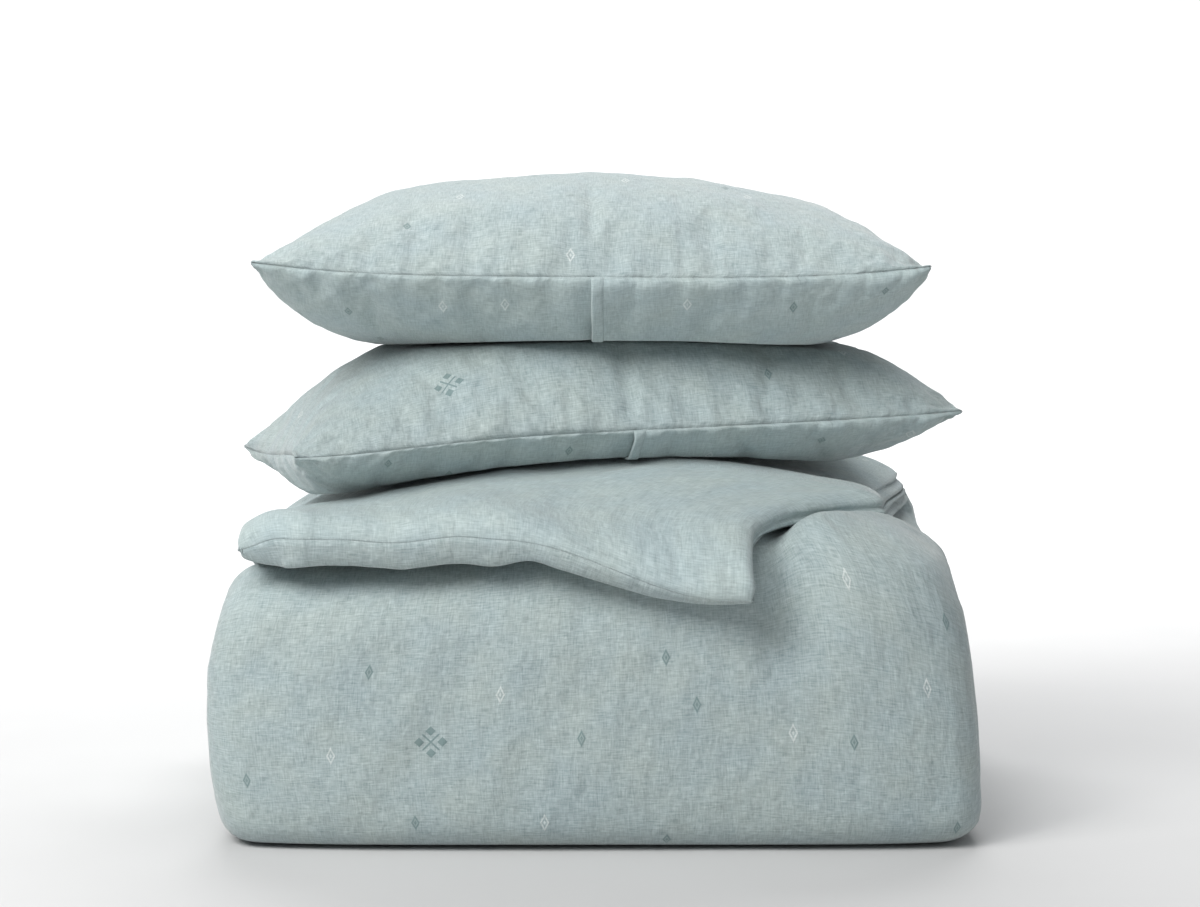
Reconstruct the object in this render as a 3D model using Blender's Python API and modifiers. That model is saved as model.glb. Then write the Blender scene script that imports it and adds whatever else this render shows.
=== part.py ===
"""Folded duvet in its linen cover, with two pillows in matching shams stacked on it.

The duvet lies folded in thirds across its width and then back and forth along its length:
an inner layer, a bottom layer, one large front fold, an upper layer and, on top, the free end,
whose front edge hangs over the fold. Metres, +Z up, the front faces -Y, the origin is at the
middle of the base.
"""

import math

import bmesh
import bpy
from mathutils import Vector

# Cloth and clearances
CLOTH = 0.001              # thickness of a cover panel
SEAM_GAP = 0.0006          # between two panels where a seam joins them
CLEARANCE = 0.0007         # between a cover and what fills it, or two panels that lap
FOLD_SLACK = 0.0024        # extra room for the filling round a fold
CUSHION_SLACK = 0.0020     # extra room over a pillow insert's crown
REST_GAP = 0.0004          # between pieces that rest on each other
LAYER_GAP = 0.006          # between two layers of the folded duvet
LAP = CLOTH + CLEARANCE    # from one panel's inner face to what lies under it

# Folded duvet
DUVET_WIDTH = 0.722        # across the folded thirds
DUVET_DEPTH = 0.560        # from the front fold to the back folds
DEPTH_OFFSET = 0.018       # the folds' middle lies this far back, behind the hanging corner
LAYER_THICK = 0.090        # one folded-in-three layer, settled
FREE_END_THICK = 0.045     # the same, pressed thin under the pillows
FOLD_SQUARENESS = 2.5      # 2 is a round fold, more is a fuller one
SIDE_ROUND = 0.045         # rounding of a layer's side
WAIST_SWELL = 0.012        # how much the front fold swells in width
WAIST_SHARE = 0.4          # share of the height at which it is widest
FRONT_FOLD_Y = DEPTH_OFFSET - DUVET_DEPTH / 2
BACK_FOLD_Y = DEPTH_OFFSET + DUVET_DEPTH / 2

# Heights of the layers in the plain stack, before it settles into its crown
LEVEL_2 = LAYER_THICK / 2 + LAYER_THICK + LAYER_GAP
LEVEL_3 = LEVEL_2 + LAYER_THICK + LAYER_GAP
LEVEL_3_TOP = LEVEL_3 + LAYER_THICK / 2
LEVEL_4_BOTTOM = LEVEL_3_TOP + LAYER_GAP
LEVEL_4_TOP = LEVEL_4_BOTTOM + FREE_END_THICK
FRONT_FOLD_RUN = LEVEL_2   # how far back the front fold's curve begins

# Closure end, hidden inside the front fold
INNER_END_Y = FRONT_FOLD_Y + LAYER_THICK + 0.042
HEM_WIDTH = 0.024          # flat hem along the closure
HEM_HEIGHT = 0.0070        # over both hems
END_TAPER = 0.042          # length over which the filled end thins to the hem

# Crown of the duvet's top, where the lower pillow rests
TOP_HEIGHT = LEVEL_4_TOP + 0.015
TOP_CENTRE_X = 0.04
TOP_FALL = 0.40            # fall per metre squared on either side
FRONT_FALL = 1.2           # fall per metre squared to the right of the free end

# Free end: the part that hangs over the front
FLAP_HINGE_Y = FRONT_FOLD_Y + 0.062
FLAP_HINGE_Z = LEVEL_4_BOTTOM + FREE_END_THICK / 2
FLAP_LEFT_X = 0.049 - DUVET_WIDTH / 2
FLAP_RIGHT_X = DUVET_WIDTH / 2 - 0.221
FRONT_TOP_LEFT = LEVEL_4_TOP - 0.030     # the top above the front fold, at the free end's sides
FRONT_TOP_RIGHT = LEVEL_4_TOP + 0.012
FLAP_LEFT_EDGE = (FRONT_FOLD_Y - 0.006, FRONT_TOP_LEFT - 0.022)      # y, z of the left end's seam
FLAP_RIGHT_EDGE = (FRONT_FOLD_Y - 0.033, FRONT_TOP_RIGHT - 0.099)    # y, z of the hanging corner
FLAP_THICK = 0.034
FLAP_FILL_INSET = 0.004    # the filling stops this far inside the free end's seams
FLAP_HINGE_GAP = 0.0018    # between the two seams that meet at the hinge
CROWN_FRONT_Y = FLAP_HINGE_Y + 0.010     # the top has its front shape up to here
CROWN_BACK_Y = INNER_END_Y               # and its crowned shape from here back

# Pillows: half width, half depth, heights above and below the seam
LOWER_SEAM = TOP_HEIGHT + 0.029
PILLOW_CONTACT = LOWER_SEAM + 0.081      # height of the face between the two pillows
PILLOW_CONTACT_FALL = 0.20
UPPER_SEAM = PILLOW_CONTACT + 0.063
LOWER_PILLOW = {"half": (0.318, 0.205), "up": 0.108, "down": 0.048, "centre": (-0.012, 0.018),
                "turn": 13.0, "seam": LOWER_SEAM, "tilt": 0.035, "corner_lift": 0.004}
UPPER_PILLOW = {"half": (0.309, 0.222), "up": 0.092, "down": 0.085, "centre": (-0.008, 0.004),
                "turn": 0.0, "seam": UPPER_SEAM, "tilt": -0.006, "corner_lift": 0.010}
PILLOW_PINCH = 0.045       # how far the sides pull in between the corners
FULLNESS = (0.35, 0.60)    # profile exponents along the width and the depth
INSERT_INSET = 0.014       # the pillow insert stops this far inside the sham
UNDER_INSET = 0.004        # the under panel of the closure is sewn in this far inside
CLOSURE_X = -0.002         # hem of the over panel, from the sham's middle; the panel runs to the right
CLOSURE_OVERLAP = 0.070    # how far the under panel, from the left, runs past it

# Closure buttons and corner ties
BUTTON_COUNT = 7
BUTTON_RADIUS = 0.006
BUTTON_THICK = 0.0025
BUTTON_MARGIN = 0.076      # from the cover's side to the outermost button
BUTTON_SHARE = 0.5         # share of the hem's width at which the buttons lie
BUTTON_SHANK = 0.0007      # the thread holds a button this far off the cloth
BUTTON_SIDES = 16
TIE_WIDTH = 0.008
TIE_THICK = 0.0012
TIE_INSET = 0.052          # from the cover's side to the tie
TIE_SHARE = 0.25           # share of the hem's width at which the tie is sewn on

# How finely each form is divided
ACROSS = 12                # the folded duvet, across its width
HEM_STEPS = 4
RUN_STEPS = 3
BACK_FOLD_STEPS = 7
FRONT_FOLD_STEPS = 12
FREE_END_STEPS = 4
FLAP_GRID = (14, 8)
PILLOW_GRID = (16, 12)
OVER_PANEL_GRID = (8, 12)
UNDER_PANEL_GRID = (9, 12)
ROUND_FROM = 0.5           # share of the half width's divisions that its flat part takes

LINEN = (0.50, 0.58, 0.58, 1.0)
LINEN_REVERSE = (0.46, 0.54, 0.54, 1.0)
DOWN_CLOTH = (0.86, 0.85, 0.82, 1.0)
SHELL_BUTTON = (0.80, 0.79, 0.74, 1.0)


def clear_scene():
    for obj in list(bpy.data.objects):
        bpy.data.objects.remove(obj, do_unlink=True)


def material(name, colour, roughness):
    made = bpy.data.materials.new(name)
    made.use_nodes = True
    shader = made.node_tree.nodes["Principled BSDF"]
    shader.inputs["Base Color"].default_value = colour
    shader.inputs["Roughness"].default_value = roughness
    shader.inputs["Metallic"].default_value = 0.0
    return made


def collection(name):
    made = bpy.data.collections.new(name)
    bpy.context.scene.collection.children.link(made)
    return made


def add_object(name, bm, mat, parent=None):
    mesh = bpy.data.meshes.new(name)
    bm.to_mesh(mesh)
    bm.free()
    mesh.materials.append(mat)
    mesh.shade_smooth()
    obj = bpy.data.objects.new(name, mesh)
    PARTS.objects.link(obj)
    obj.parent = parent
    return obj


def empty(name, location, turn):
    obj = bpy.data.objects.new(name, None)
    obj.location = location
    obj.rotation_euler = (0.0, 0.0, math.radians(turn))
    PARTS.objects.link(obj)
    return obj


def smooth(share):
    """Eases a share of the way from 0 to 1."""
    share = max(0.0, min(1.0, share))
    return share * share * (3.0 - 2.0 * share)


def grid(divisions, place):
    """A grid whose points, at (s, t) from -1 to 1, go where place(s, t) says."""
    bm = bmesh.new()
    bmesh.ops.create_grid(bm, x_segments=divisions[0], y_segments=divisions[1], size=1.0)
    for vert in bm.verts:
        vert.co = place(vert.co.x, vert.co.y)
    return bm


def panel(name, place, divisions, mat, parent=None, flip=False):
    """A sheet of cloth: an open grid on its inner face, given its thickness outwards."""
    bm = grid(divisions, place)
    if flip:
        bmesh.ops.reverse_faces(bm, faces=bm.faces)
    obj = add_object(name, bm, mat, parent)
    solid = obj.modifiers.new("Cloth", "SOLIDIFY")
    solid.thickness = CLOTH
    solid.offset = 1.0
    return obj


def filled(name, upper, lower, divisions, mat, parent=None):
    """A closed stuffed form between two grids, joined round their rims."""
    bm = grid(divisions, upper)
    other = grid(divisions, lower)
    spare = bpy.data.meshes.new("spare")
    other.to_mesh(spare)
    other.free()
    bm.from_mesh(spare)
    bpy.data.meshes.remove(spare)
    rims = [edge for edge in bm.edges if edge.is_boundary]
    bmesh.ops.bridge_loops(bm, edges=rims)
    bmesh.ops.recalc_face_normals(bm, faces=bm.faces)
    return add_object(name, bm, mat, parent)


# Folded duvet -----------------------------------------------------------------------------

def top_height(x):
    """Height of the duvet's top under the lower pillow."""
    return TOP_HEIGHT - TOP_FALL * (x - TOP_CENTRE_X) ** 2


def front_height(x):
    """Height of the top above the front fold: straight along the free end's hinge."""
    slope = (FRONT_TOP_RIGHT - FRONT_TOP_LEFT) / (FLAP_RIGHT_X - FLAP_LEFT_X)
    past = max(0.0, x - FLAP_RIGHT_X)
    return FRONT_TOP_LEFT + slope * (min(x, FLAP_RIGHT_X) - FLAP_LEFT_X) - FRONT_FALL * past * past


def crown(x, y):
    """Local height of the stack as a share of its plain height."""
    ease = smooth((y - CROWN_FRONT_Y) / (CROWN_BACK_Y - CROWN_FRONT_Y))
    return (front_height(x) * (1.0 - ease) + top_height(x) * ease) / LEVEL_4_TOP


def settle(x, y, z):
    """Crowns the folded stack: every layer keeps its share of the local height."""
    swell = 1.0 + WAIST_SWELL * math.cos(math.pi * (z / LEVEL_4_TOP - WAIST_SHARE))
    return Vector((x * swell, y, CLOTH + (z - CLOTH) * crown(x, y)))


def level_run(start_y, end_y, face_z, reverse_z, steps):
    """Straight stretch of a layer: face side, reverse side, and 0 for no fold."""
    points = []
    for i in range(steps):
        y = start_y + (end_y - start_y) * i / steps
        points.append(((y, face_z), (y, reverse_z), 0.0))
    return points


def half_turn(centre, start, face_radii, reverse_radii, steps):
    """Half turn of a layer about centre, from the start angle, clockwise when start is 90."""
    points = []
    sweep = -180.0 if start > 0.0 else 180.0
    for i in range(steps):
        share = i / steps
        angle = math.radians(start + sweep * share)
        pair = []
        for first, last in (face_radii, reverse_radii):
            radius = first + (last - first) * smooth(share)
            pair.append((centre[0] + radius * math.cos(angle), centre[1] + radius * math.sin(angle)))
        points.append((pair[0], pair[1], 1.0))
    return points


def front_fold(steps):
    """The large fold, from the bottom layer up to the upper layer, fuller than a half circle."""
    centre_y = FRONT_FOLD_Y + FRONT_FOLD_RUN
    inner_run = FRONT_FOLD_RUN - LAYER_THICK
    power = FOLD_SQUARENESS
    points = []
    for i in range(steps):
        angle = math.pi * i / steps
        side, height = math.sin(angle), -math.cos(angle)
        reach = (abs(side) ** power + abs(height) ** power) ** (-1.0 / power)
        pair = []
        for run, rise in ((FRONT_FOLD_RUN, LEVEL_3_TOP / 2), (inner_run, LEVEL_2 - LAYER_THICK)):
            pair.append((centre_y - run * side * reach, LEVEL_2 + rise * height * reach))
        points.append((pair[0], pair[1], 1.0))
    return points


def closure_end(steps):
    """The hem at the closure end, and the taper from it up to the filled layer."""
    hem = HEM_HEIGHT / 2
    taper_y = INNER_END_Y + HEM_WIDTH
    points = level_run(INNER_END_Y, taper_y, LEVEL_2 + hem, LEVEL_2 - hem, 1)
    for i in range(steps):
        share = i / steps
        rise = hem + (LAYER_THICK / 2 - hem) * math.sin(share * math.pi / 2)
        y = taper_y + END_TAPER * share
        points.append(((y, LEVEL_2 + rise), (y, LEVEL_2 - rise), 1.0))
    return points


def duvet_section():
    """Face side, reverse side and fold share, from the closure end to the free end's hinge."""
    back_y = BACK_FOLD_Y - LAYER_THICK - LAYER_GAP / 2
    front_y = FRONT_FOLD_Y + FRONT_FOLD_RUN
    fold_radius = LAYER_THICK + LAYER_GAP / 2
    crease = LAYER_GAP / 2
    half = LAYER_THICK / 2
    taper_end = INNER_END_Y + HEM_WIDTH + END_TAPER
    points = closure_end(HEM_STEPS)
    points += level_run(taper_end, back_y, LEVEL_2 + half, LEVEL_2 - half, RUN_STEPS)
    low = (back_y, LAYER_THICK + LAYER_GAP / 2)
    points += half_turn(low, 90.0, (fold_radius, fold_radius), (crease, crease), BACK_FOLD_STEPS)
    points += level_run(back_y, front_y, 0.0, LAYER_THICK, RUN_STEPS)
    points += front_fold(FRONT_FOLD_STEPS)
    points += level_run(front_y, back_y, LEVEL_3_TOP, LEVEL_3 - half, RUN_STEPS)
    high = (back_y, LEVEL_3_TOP + LAYER_GAP / 2)
    thinned = (fold_radius, FREE_END_THICK + LAYER_GAP / 2)
    points += half_turn(high, -90.0, (crease, crease), thinned, BACK_FOLD_STEPS)
    end_y = FLAP_HINGE_Y + FLAP_HINGE_GAP
    wedge_y = end_y + FREE_END_THICK / 2
    points += level_run(back_y, wedge_y, LEVEL_4_BOTTOM, LEVEL_4_TOP, FREE_END_STEPS)
    seam = CLOTH + SEAM_GAP
    points.append(((wedge_y, LEVEL_4_BOTTOM), (wedge_y, LEVEL_4_TOP), 1.0))
    points.append(((end_y, FLAP_HINGE_Z - seam), (end_y, FLAP_HINGE_Z + seam), 1.0))
    return points


SECTION = duvet_section()
FREE_END_START = len(SECTION) - FREE_END_STEPS - 2
FILL_START = 2             # the filling begins where the closure's hem ends
FILL_END = len(SECTION) - 2


def side_limits(index):
    """Left and right edges of the layer; the free end is drawn in towards its hinge."""
    share = max(0.0, (index - FREE_END_START) / (len(SECTION) - 1 - FREE_END_START))
    half = DUVET_WIDTH / 2
    return share * (FLAP_LEFT_X + half) - half, half + share * (FLAP_RIGHT_X - half)


def strip_place(side, inset, first, last, stuffing=False):
    """place() for the face (side 1) or the reverse (side -1) of the folded strip."""

    def place(s, t):
        index = first + round((t + 1.0) / 2.0 * (last - first))
        face, reverse = (Vector(point) for point in SECTION[index][:2])
        middle = (face + reverse) / 2.0
        half = (face - reverse) / 2.0
        depth = inset + (FOLD_SLACK * SECTION[index][2] if stuffing else 0.0)
        half *= (half.length - depth) / half.length
        left, right = side_limits(index)
        flat = (right - left) / 2.0 - SIDE_ROUND
        reach = flat * max(-1.0, min(1.0, s / ROUND_FROM))
        quarter = max(0.0, abs(s) - ROUND_FROM) / (1.0 - ROUND_FROM) * math.pi / 2.0
        out = math.copysign(math.sin(quarter) * (SIDE_ROUND - depth), s)
        rim = min(SEAM_GAP / 2.0, half.length * 0.6) / half.length
        point = middle + half * side * (rim + (1.0 - rim) * math.cos(quarter))
        return settle((left + right) / 2.0 + reach + out, point.x, point.y)

    return place


def build_duvet(linen, reverse, down):
    end = len(SECTION) - 1
    face_side = strip_place(1, CLOTH, 0, end)
    reverse_side = strip_place(-1, CLOTH, 0, end)
    panel("cover_face_panel", face_side, (ACROSS, end), linen)
    panel("cover_reverse_panel", reverse_side, (ACROSS, end), reverse, flip=True)
    upper = strip_place(1, LAP, FILL_START, FILL_END, stuffing=True)
    lower = strip_place(-1, LAP, FILL_START, FILL_END, stuffing=True)
    filled("duvet_insert", upper, lower, (ACROSS, FILL_END - FILL_START), down)


# Hanging front edge of the free end --------------------------------------------------------

def flap_place(side, inset, drawn_in):
    """place() for the upper (side 1) or lower face of the free end; drawn_in narrows its outline."""

    def place(s, t):
        along = (s + 1.0) / 2.0
        down = (t + 1.0) / 2.0
        left = FLAP_LEFT_X + drawn_in
        right = FLAP_RIGHT_X - drawn_in
        x = left + (right - left) * (1.0 - math.cos(along * math.pi)) / 2.0
        edge_y = FLAP_LEFT_EDGE[0] + (FLAP_RIGHT_EDGE[0] - FLAP_LEFT_EDGE[0]) * along
        edge_z = FLAP_LEFT_EDGE[1] + (FLAP_RIGHT_EDGE[1] - FLAP_LEFT_EDGE[1]) * along
        start = Vector((FLAP_HINGE_Y, FLAP_HINGE_Z * front_height(x) / LEVEL_4_TOP))
        end = Vector((edge_y, edge_z))
        reach = (1.0 - math.cos(down * math.pi)) / 2.0
        travel = drawn_in + ((end - start).length - 2.0 * drawn_in) * reach
        direction = (end - start).normalized()
        outward = Vector((direction.y, -direction.x))
        bulge = (math.sin(down * math.pi) * math.sin(along * math.pi)) ** 0.5
        rise = SEAM_GAP / 2.0 + max(0.0, FLAP_THICK / 2.0 - inset) * bulge
        point = start + direction * travel + outward * rise * side
        return Vector((x, point.x, point.y))

    return place


def build_flap(linen, reverse, down):
    upper_face = flap_place(1, CLOTH, CLOTH)
    lower_face = flap_place(-1, CLOTH, CLOTH)
    panel("free_end_upper_panel", upper_face, FLAP_GRID, reverse, flip=True)
    panel("free_end_lower_panel", lower_face, FLAP_GRID, linen)
    upper = flap_place(1, LAP, FLAP_FILL_INSET)
    lower = flap_place(-1, LAP, FLAP_FILL_INSET)
    filled("free_end_insert", upper, lower, FLAP_GRID, down)


# Pillows ----------------------------------------------------------------------------------

def pillow_contact(x):
    return PILLOW_CONTACT - PILLOW_CONTACT_FALL * x * x


def pillow_place(size, side, inset, floor, ceiling, span=(-1.0, 1.0), edge=0.0, slack=0.0):
    """place() for the upper (side 1) or lower (side -1) face of a pillow.

    floor and ceiling give the heights of what it rests on and of what rests on it. span is the
    stretch of the width that the panel covers, edge draws the outline in and slack lowers the
    crown.
    """
    half_x, half_y = size["half"]
    swing = math.radians(size["turn"])
    centre = Vector(size["centre"])

    def place(s, t):
        low, high = (math.asin(end) / (math.pi / 2.0) for end in span)
        u = math.sin((low + (high - low) * (s + 1.0) / 2.0) * math.pi / 2.0)
        v = math.sin(t * math.pi / 2.0)
        x = (half_x - edge) * u * (1.0 - PILLOW_PINCH * (1.0 - v * v))
        y = (half_y - edge) * v * (1.0 - PILLOW_PINCH * (1.0 - u * u))
        profile = max(0.0, 1.0 - u * u) ** FULLNESS[0] * max(0.0, 1.0 - v * v) ** FULLNESS[1]
        world_x = centre.x + x * math.cos(swing) - y * math.sin(swing)
        corner = (u * v) ** 2
        seam = size["seam"] + size["tilt"] * world_x + size["corner_lift"] * corner
        rise = size["up"] if side > 0 else size["down"]
        z = seam + side * (SEAM_GAP / 2.0 + (rise - inset - slack) * profile)
        if floor:
            z = max(z, floor(world_x) + REST_GAP + inset)
        if ceiling:
            z = min(z, ceiling(world_x) - inset)
        return Vector((x, y, z))

    return place


def build_pillow(name, size, floor, ceiling, linen, reverse, down):
    holder = empty(name + "_place", (size["centre"][0], size["centre"][1], 0.0), size["turn"])
    hem = CLOSURE_X / size["half"][0]
    under_end = (CLOSURE_X + CLOSURE_OVERLAP) / size["half"][0]
    top = pillow_place(size, 1, CLOTH, None, ceiling)
    over = pillow_place(size, -1, CLOTH, floor, None, (hem, 1.0))
    under = pillow_place(size, -1, CLOTH + LAP, floor, None, (-1.0, under_end), UNDER_INSET)
    panel(name + "_sham_front", top, PILLOW_GRID, linen, holder)
    panel(name + "_sham_back_over", over, OVER_PANEL_GRID, reverse, holder, flip=True)
    panel(name + "_sham_back_under", under, UNDER_PANEL_GRID, reverse, holder, flip=True)
    fit = {"edge": INSERT_INSET, "slack": CUSHION_SLACK}
    upper = pillow_place(size, 1, LAP, None, ceiling, **fit)
    lower = pillow_place(size, -1, 2.0 * LAP, floor, None, **fit)
    filled(name + "_insert", upper, lower, PILLOW_GRID, down, holder)


# Closure and corner ties -------------------------------------------------------------------

def on_hem(side, x, share):
    """Point of the closure hem's face (side 1) or reverse panel, share of the way along the hem."""
    place = strip_place(side, CLOTH, 0, 1)
    ends = []
    for t in (-1.0, 1.0):
        row = [place(2.0 * i / ACROSS - 1.0, t) for i in range(ACROSS + 1)]
        index = next(i for i in range(1, ACROSS + 1) if row[i].x >= x)
        near, far = row[index - 1], row[index]
        ends.append(near.lerp(far, (x - near.x) / (far.x - near.x)))
    return ends[0].lerp(ends[1], share)


def lay(obj, side, x, share, reach, rise):
    """Lays a small piece along the hem, rise above it."""
    left, right = on_hem(side, x - reach, share), on_hem(side, x + reach, share)
    along = reach / HEM_WIDTH
    near, far = on_hem(side, x, share - along), on_hem(side, x, share + along)
    normal = (right - left).cross(far - near).normalized()
    obj.location = on_hem(side, x, share) + normal * rise
    obj.rotation_euler = Vector((0.0, 0.0, 1.0)).rotation_difference(normal).to_euler()


def build_buttons(shell):
    """A row of flat buttons on the face hem of the closure."""
    pitch = (DUVET_WIDTH - 2.0 * BUTTON_MARGIN) / (BUTTON_COUNT - 1)
    radii = {"radius1": BUTTON_RADIUS, "radius2": BUTTON_RADIUS}
    rise = CLOTH + BUTTON_SHANK + BUTTON_THICK / 2.0
    for i in range(BUTTON_COUNT):
        x = (i - (BUTTON_COUNT - 1) / 2.0) * pitch
        bm = bmesh.new()
        bmesh.ops.create_cone(bm, cap_ends=True, segments=BUTTON_SIDES, depth=BUTTON_THICK, **radii)
        obj = add_object("closure_button_%d" % (i + 1), bm, shell)
        lay(obj, 1, x, BUTTON_SHARE, BUTTON_RADIUS, rise)


def build_ties(tape):
    """Tapes inside the cover's two corners at the closure, from the hem to the insert."""
    start = TIE_SHARE * HEM_WIDTH
    length = SECTION[FILL_START][0][0] - REST_GAP - INNER_END_Y - start
    for name, sign in (("left", -1), ("right", 1)):
        bm = bmesh.new()
        bmesh.ops.create_cube(bm, size=1.0)
        bmesh.ops.scale(bm, vec=(TIE_WIDTH, length, TIE_THICK), verts=bm.verts)
        obj = add_object("corner_tie_" + name, bm, tape)
        x = sign * (DUVET_WIDTH / 2.0 - TIE_INSET)
        middle = (start + length / 2.0) / HEM_WIDTH
        lay(obj, -1, x, middle, TIE_WIDTH / 2.0, TIE_THICK / 2.0 + REST_GAP)


clear_scene()
PARTS = collection("folded_duvet_set")
linen_face = material("linen_face", LINEN, 0.85)
linen_reverse = material("linen_reverse", LINEN_REVERSE, 0.85)
insert_cloth = material("insert_cloth", DOWN_CLOTH, 0.8)
shell_button = material("button_shell", SHELL_BUTTON, 0.35)
cloths = (linen_face, linen_reverse, insert_cloth)
build_duvet(*cloths)
build_flap(*cloths)
build_buttons(shell_button)
build_ties(insert_cloth)
build_pillow("lower_pillow", LOWER_PILLOW, top_height, pillow_contact, *cloths)
build_pillow("upper_pillow", UPPER_PILLOW, pillow_contact, None, *cloths)
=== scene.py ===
# %% [markdown]
# # A folded duvet and two pillows in washed linen
# The frame holds the plain solids and the joints. This lesson dresses them: sheets of linen
# with a woven motif, soft stuffed forms, seams, a hemmed closure, buttons and tapes.

# %% Load the frame
import math

import bmesh
import bpy
import numpy as np
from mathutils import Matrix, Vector


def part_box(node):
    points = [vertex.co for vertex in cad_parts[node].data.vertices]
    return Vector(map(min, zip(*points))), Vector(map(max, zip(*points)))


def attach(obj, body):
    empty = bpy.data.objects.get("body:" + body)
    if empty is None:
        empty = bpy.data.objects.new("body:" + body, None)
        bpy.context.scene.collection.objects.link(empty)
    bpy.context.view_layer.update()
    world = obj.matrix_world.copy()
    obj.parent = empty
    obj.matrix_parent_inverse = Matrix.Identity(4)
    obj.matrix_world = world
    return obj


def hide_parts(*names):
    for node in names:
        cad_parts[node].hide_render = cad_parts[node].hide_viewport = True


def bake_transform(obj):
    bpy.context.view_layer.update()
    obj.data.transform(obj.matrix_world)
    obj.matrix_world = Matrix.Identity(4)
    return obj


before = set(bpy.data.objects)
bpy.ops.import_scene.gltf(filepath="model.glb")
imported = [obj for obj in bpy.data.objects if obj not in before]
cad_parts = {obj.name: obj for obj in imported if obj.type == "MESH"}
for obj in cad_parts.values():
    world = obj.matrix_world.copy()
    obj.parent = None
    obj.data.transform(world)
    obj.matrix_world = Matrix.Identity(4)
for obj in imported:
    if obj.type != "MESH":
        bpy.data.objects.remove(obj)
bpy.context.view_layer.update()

# %% [markdown]
# ## The camera, the light and the floor
# The camera stands far away with a long lens, a little above the middle of the stack, so that
# the layers read as level bands. Large soft lights from the upper left model the folds, and a
# fourth light brightens the paper behind. One hard lamp would be simpler, but its sharp shadows
# would hide the wrinkles.

# %% Camera
VIEW_DISTANCE = 3.0
VIEW_ELEVATION = math.radians(5.5)
VIEW_TARGET = Vector((0.0, 0.0, 0.3404))
LENS_MM = 91.8
SENSOR_MM = 36.0


def make_camera():
    data = bpy.data.cameras.new("long_lens")
    data.lens = LENS_MM
    data.sensor_width = SENSOR_MM
    camera = bpy.data.objects.new("long_lens", data)
    bpy.context.scene.collection.objects.link(camera)
    back = Vector((0.0, -math.cos(VIEW_ELEVATION), math.sin(VIEW_ELEVATION)))
    camera.location = VIEW_TARGET + back * VIEW_DISTANCE
    camera.rotation_euler = (-back).to_track_quat("-Z", "Y").to_euler()
    bpy.context.scene.camera = camera


make_camera()
print("camera stands", VIEW_DISTANCE, "m away")

# %% Lights
LIGHTS = {
    "window_left": {"at": (-2.0, -1.9, 2.5), "size": 1.6, "watts": 66.0, "tint": (1.0, 0.99, 0.97)},
    "window_front": {"at": (-1.0, -2.3, 2.3), "size": 1.5, "watts": 46.0, "tint": (1.0, 1.0, 1.0)},
    "front_card": {"at": (0.8, -3.2, 1.2), "size": 1.8, "watts": 1.5, "tint": (0.97, 0.99, 1.0)},
}
BACKDROP_LIGHT = {"at": (0.0, 3.0, 4.2), "size": 3.5, "watts": 420.0, "tint": (1.0, 1.0, 1.0)}
BACKDROP_TARGET = Vector((0.0, 5.6, 0.0))
SKY_STRENGTH = 0.29


def make_light(name, at, size, watts, tint, target=VIEW_TARGET):
    data = bpy.data.lights.new(name, "AREA")
    data.energy = watts
    data.size = size
    data.color = tint
    lamp = bpy.data.objects.new(name, data)
    lamp.location = at
    lamp.rotation_euler = (target - Vector(at)).to_track_quat("-Z", "Y").to_euler()
    bpy.context.scene.collection.objects.link(lamp)


def make_sky():
    sky = bpy.data.worlds.new("studio")
    sky.use_nodes = True
    background = sky.node_tree.nodes["Background"]
    background.inputs["Color"].default_value = (0.95, 0.97, 1.0, 1.0)
    background.inputs["Strength"].default_value = SKY_STRENGTH
    bpy.context.scene.world = sky


for light_name, settings in LIGHTS.items():
    make_light(light_name, **settings)
make_light("backdrop", target=BACKDROP_TARGET, **BACKDROP_LIGHT)
make_sky()
bpy.context.scene.view_settings.view_transform = "Standard"
print("lights", list(LIGHTS))

# %% [markdown]
# ## Tools for cloth
# Every piece of linen here is a grid of points: one direction across the cloth and one along
# it. Such a grid keeps its own flat coordinates in metres, taken along its middle row and its
# middle column, so a weave drawn on them bends with the cloth and stretches only a little near
# the corners. A sculpted or remeshed form would lose them.

# %% Cloth tools
RIPPLE_TABLE = 61


def ease(share):
    """Eases 0 to 1 with level ends."""
    share = np.clip(share, 0.0, 1.0)
    return share * share * (3.0 - 2.0 * share)


def bump_at(value, centre, width):
    """A soft hill of height 1 at centre."""
    return np.exp(-(((value - centre) / width) ** 2))


def ripple(across, along, size, seed):
    """Smooth random heights from -1 to 1, about size metres from hill to hill."""
    table = np.random.default_rng(seed).uniform(-1.0, 1.0, (RIPPLE_TABLE, RIPPLE_TABLE))
    a = np.asarray(across) / size + 20.0
    b = np.asarray(along) / size + 20.0
    i, j = np.floor(a).astype(int), np.floor(b).astype(int)
    p, q = ease(a - i), ease(b - j)
    i0, j0 = i % RIPPLE_TABLE, j % RIPPLE_TABLE
    i1, j1 = (i + 1) % RIPPLE_TABLE, (j + 1) % RIPPLE_TABLE
    low = table[i0, j0] * (1 - p) + table[i1, j0] * p
    high = table[i0, j1] * (1 - p) + table[i1, j1] * p
    return low * (1 - q) + high * q


def creases(across, along, angle, long_size, short_size, seed):
    """Long soft wrinkles that run at an angle to the cloth."""
    c, s = math.cos(math.radians(angle)), math.sin(math.radians(angle))
    run = across * c + along * s
    side = along * c - across * s
    bent = side + 0.35 * short_size * ripple(run, side, long_size, seed + 1)
    value = ripple(run * short_size / long_size, bent, short_size, seed)
    return value * (0.5 + 0.5 * ripple(run, side, long_size, seed + 2))


def normals_of(grid):
    """Unit normals of a grid of points, shape (rows, columns, 3)."""
    down = np.gradient(grid, axis=0)
    right = np.gradient(grid, axis=1)
    normal = np.cross(right, down)
    length = np.linalg.norm(normal, axis=2, keepdims=True)
    return normal / np.maximum(length, 1e-12)


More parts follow.
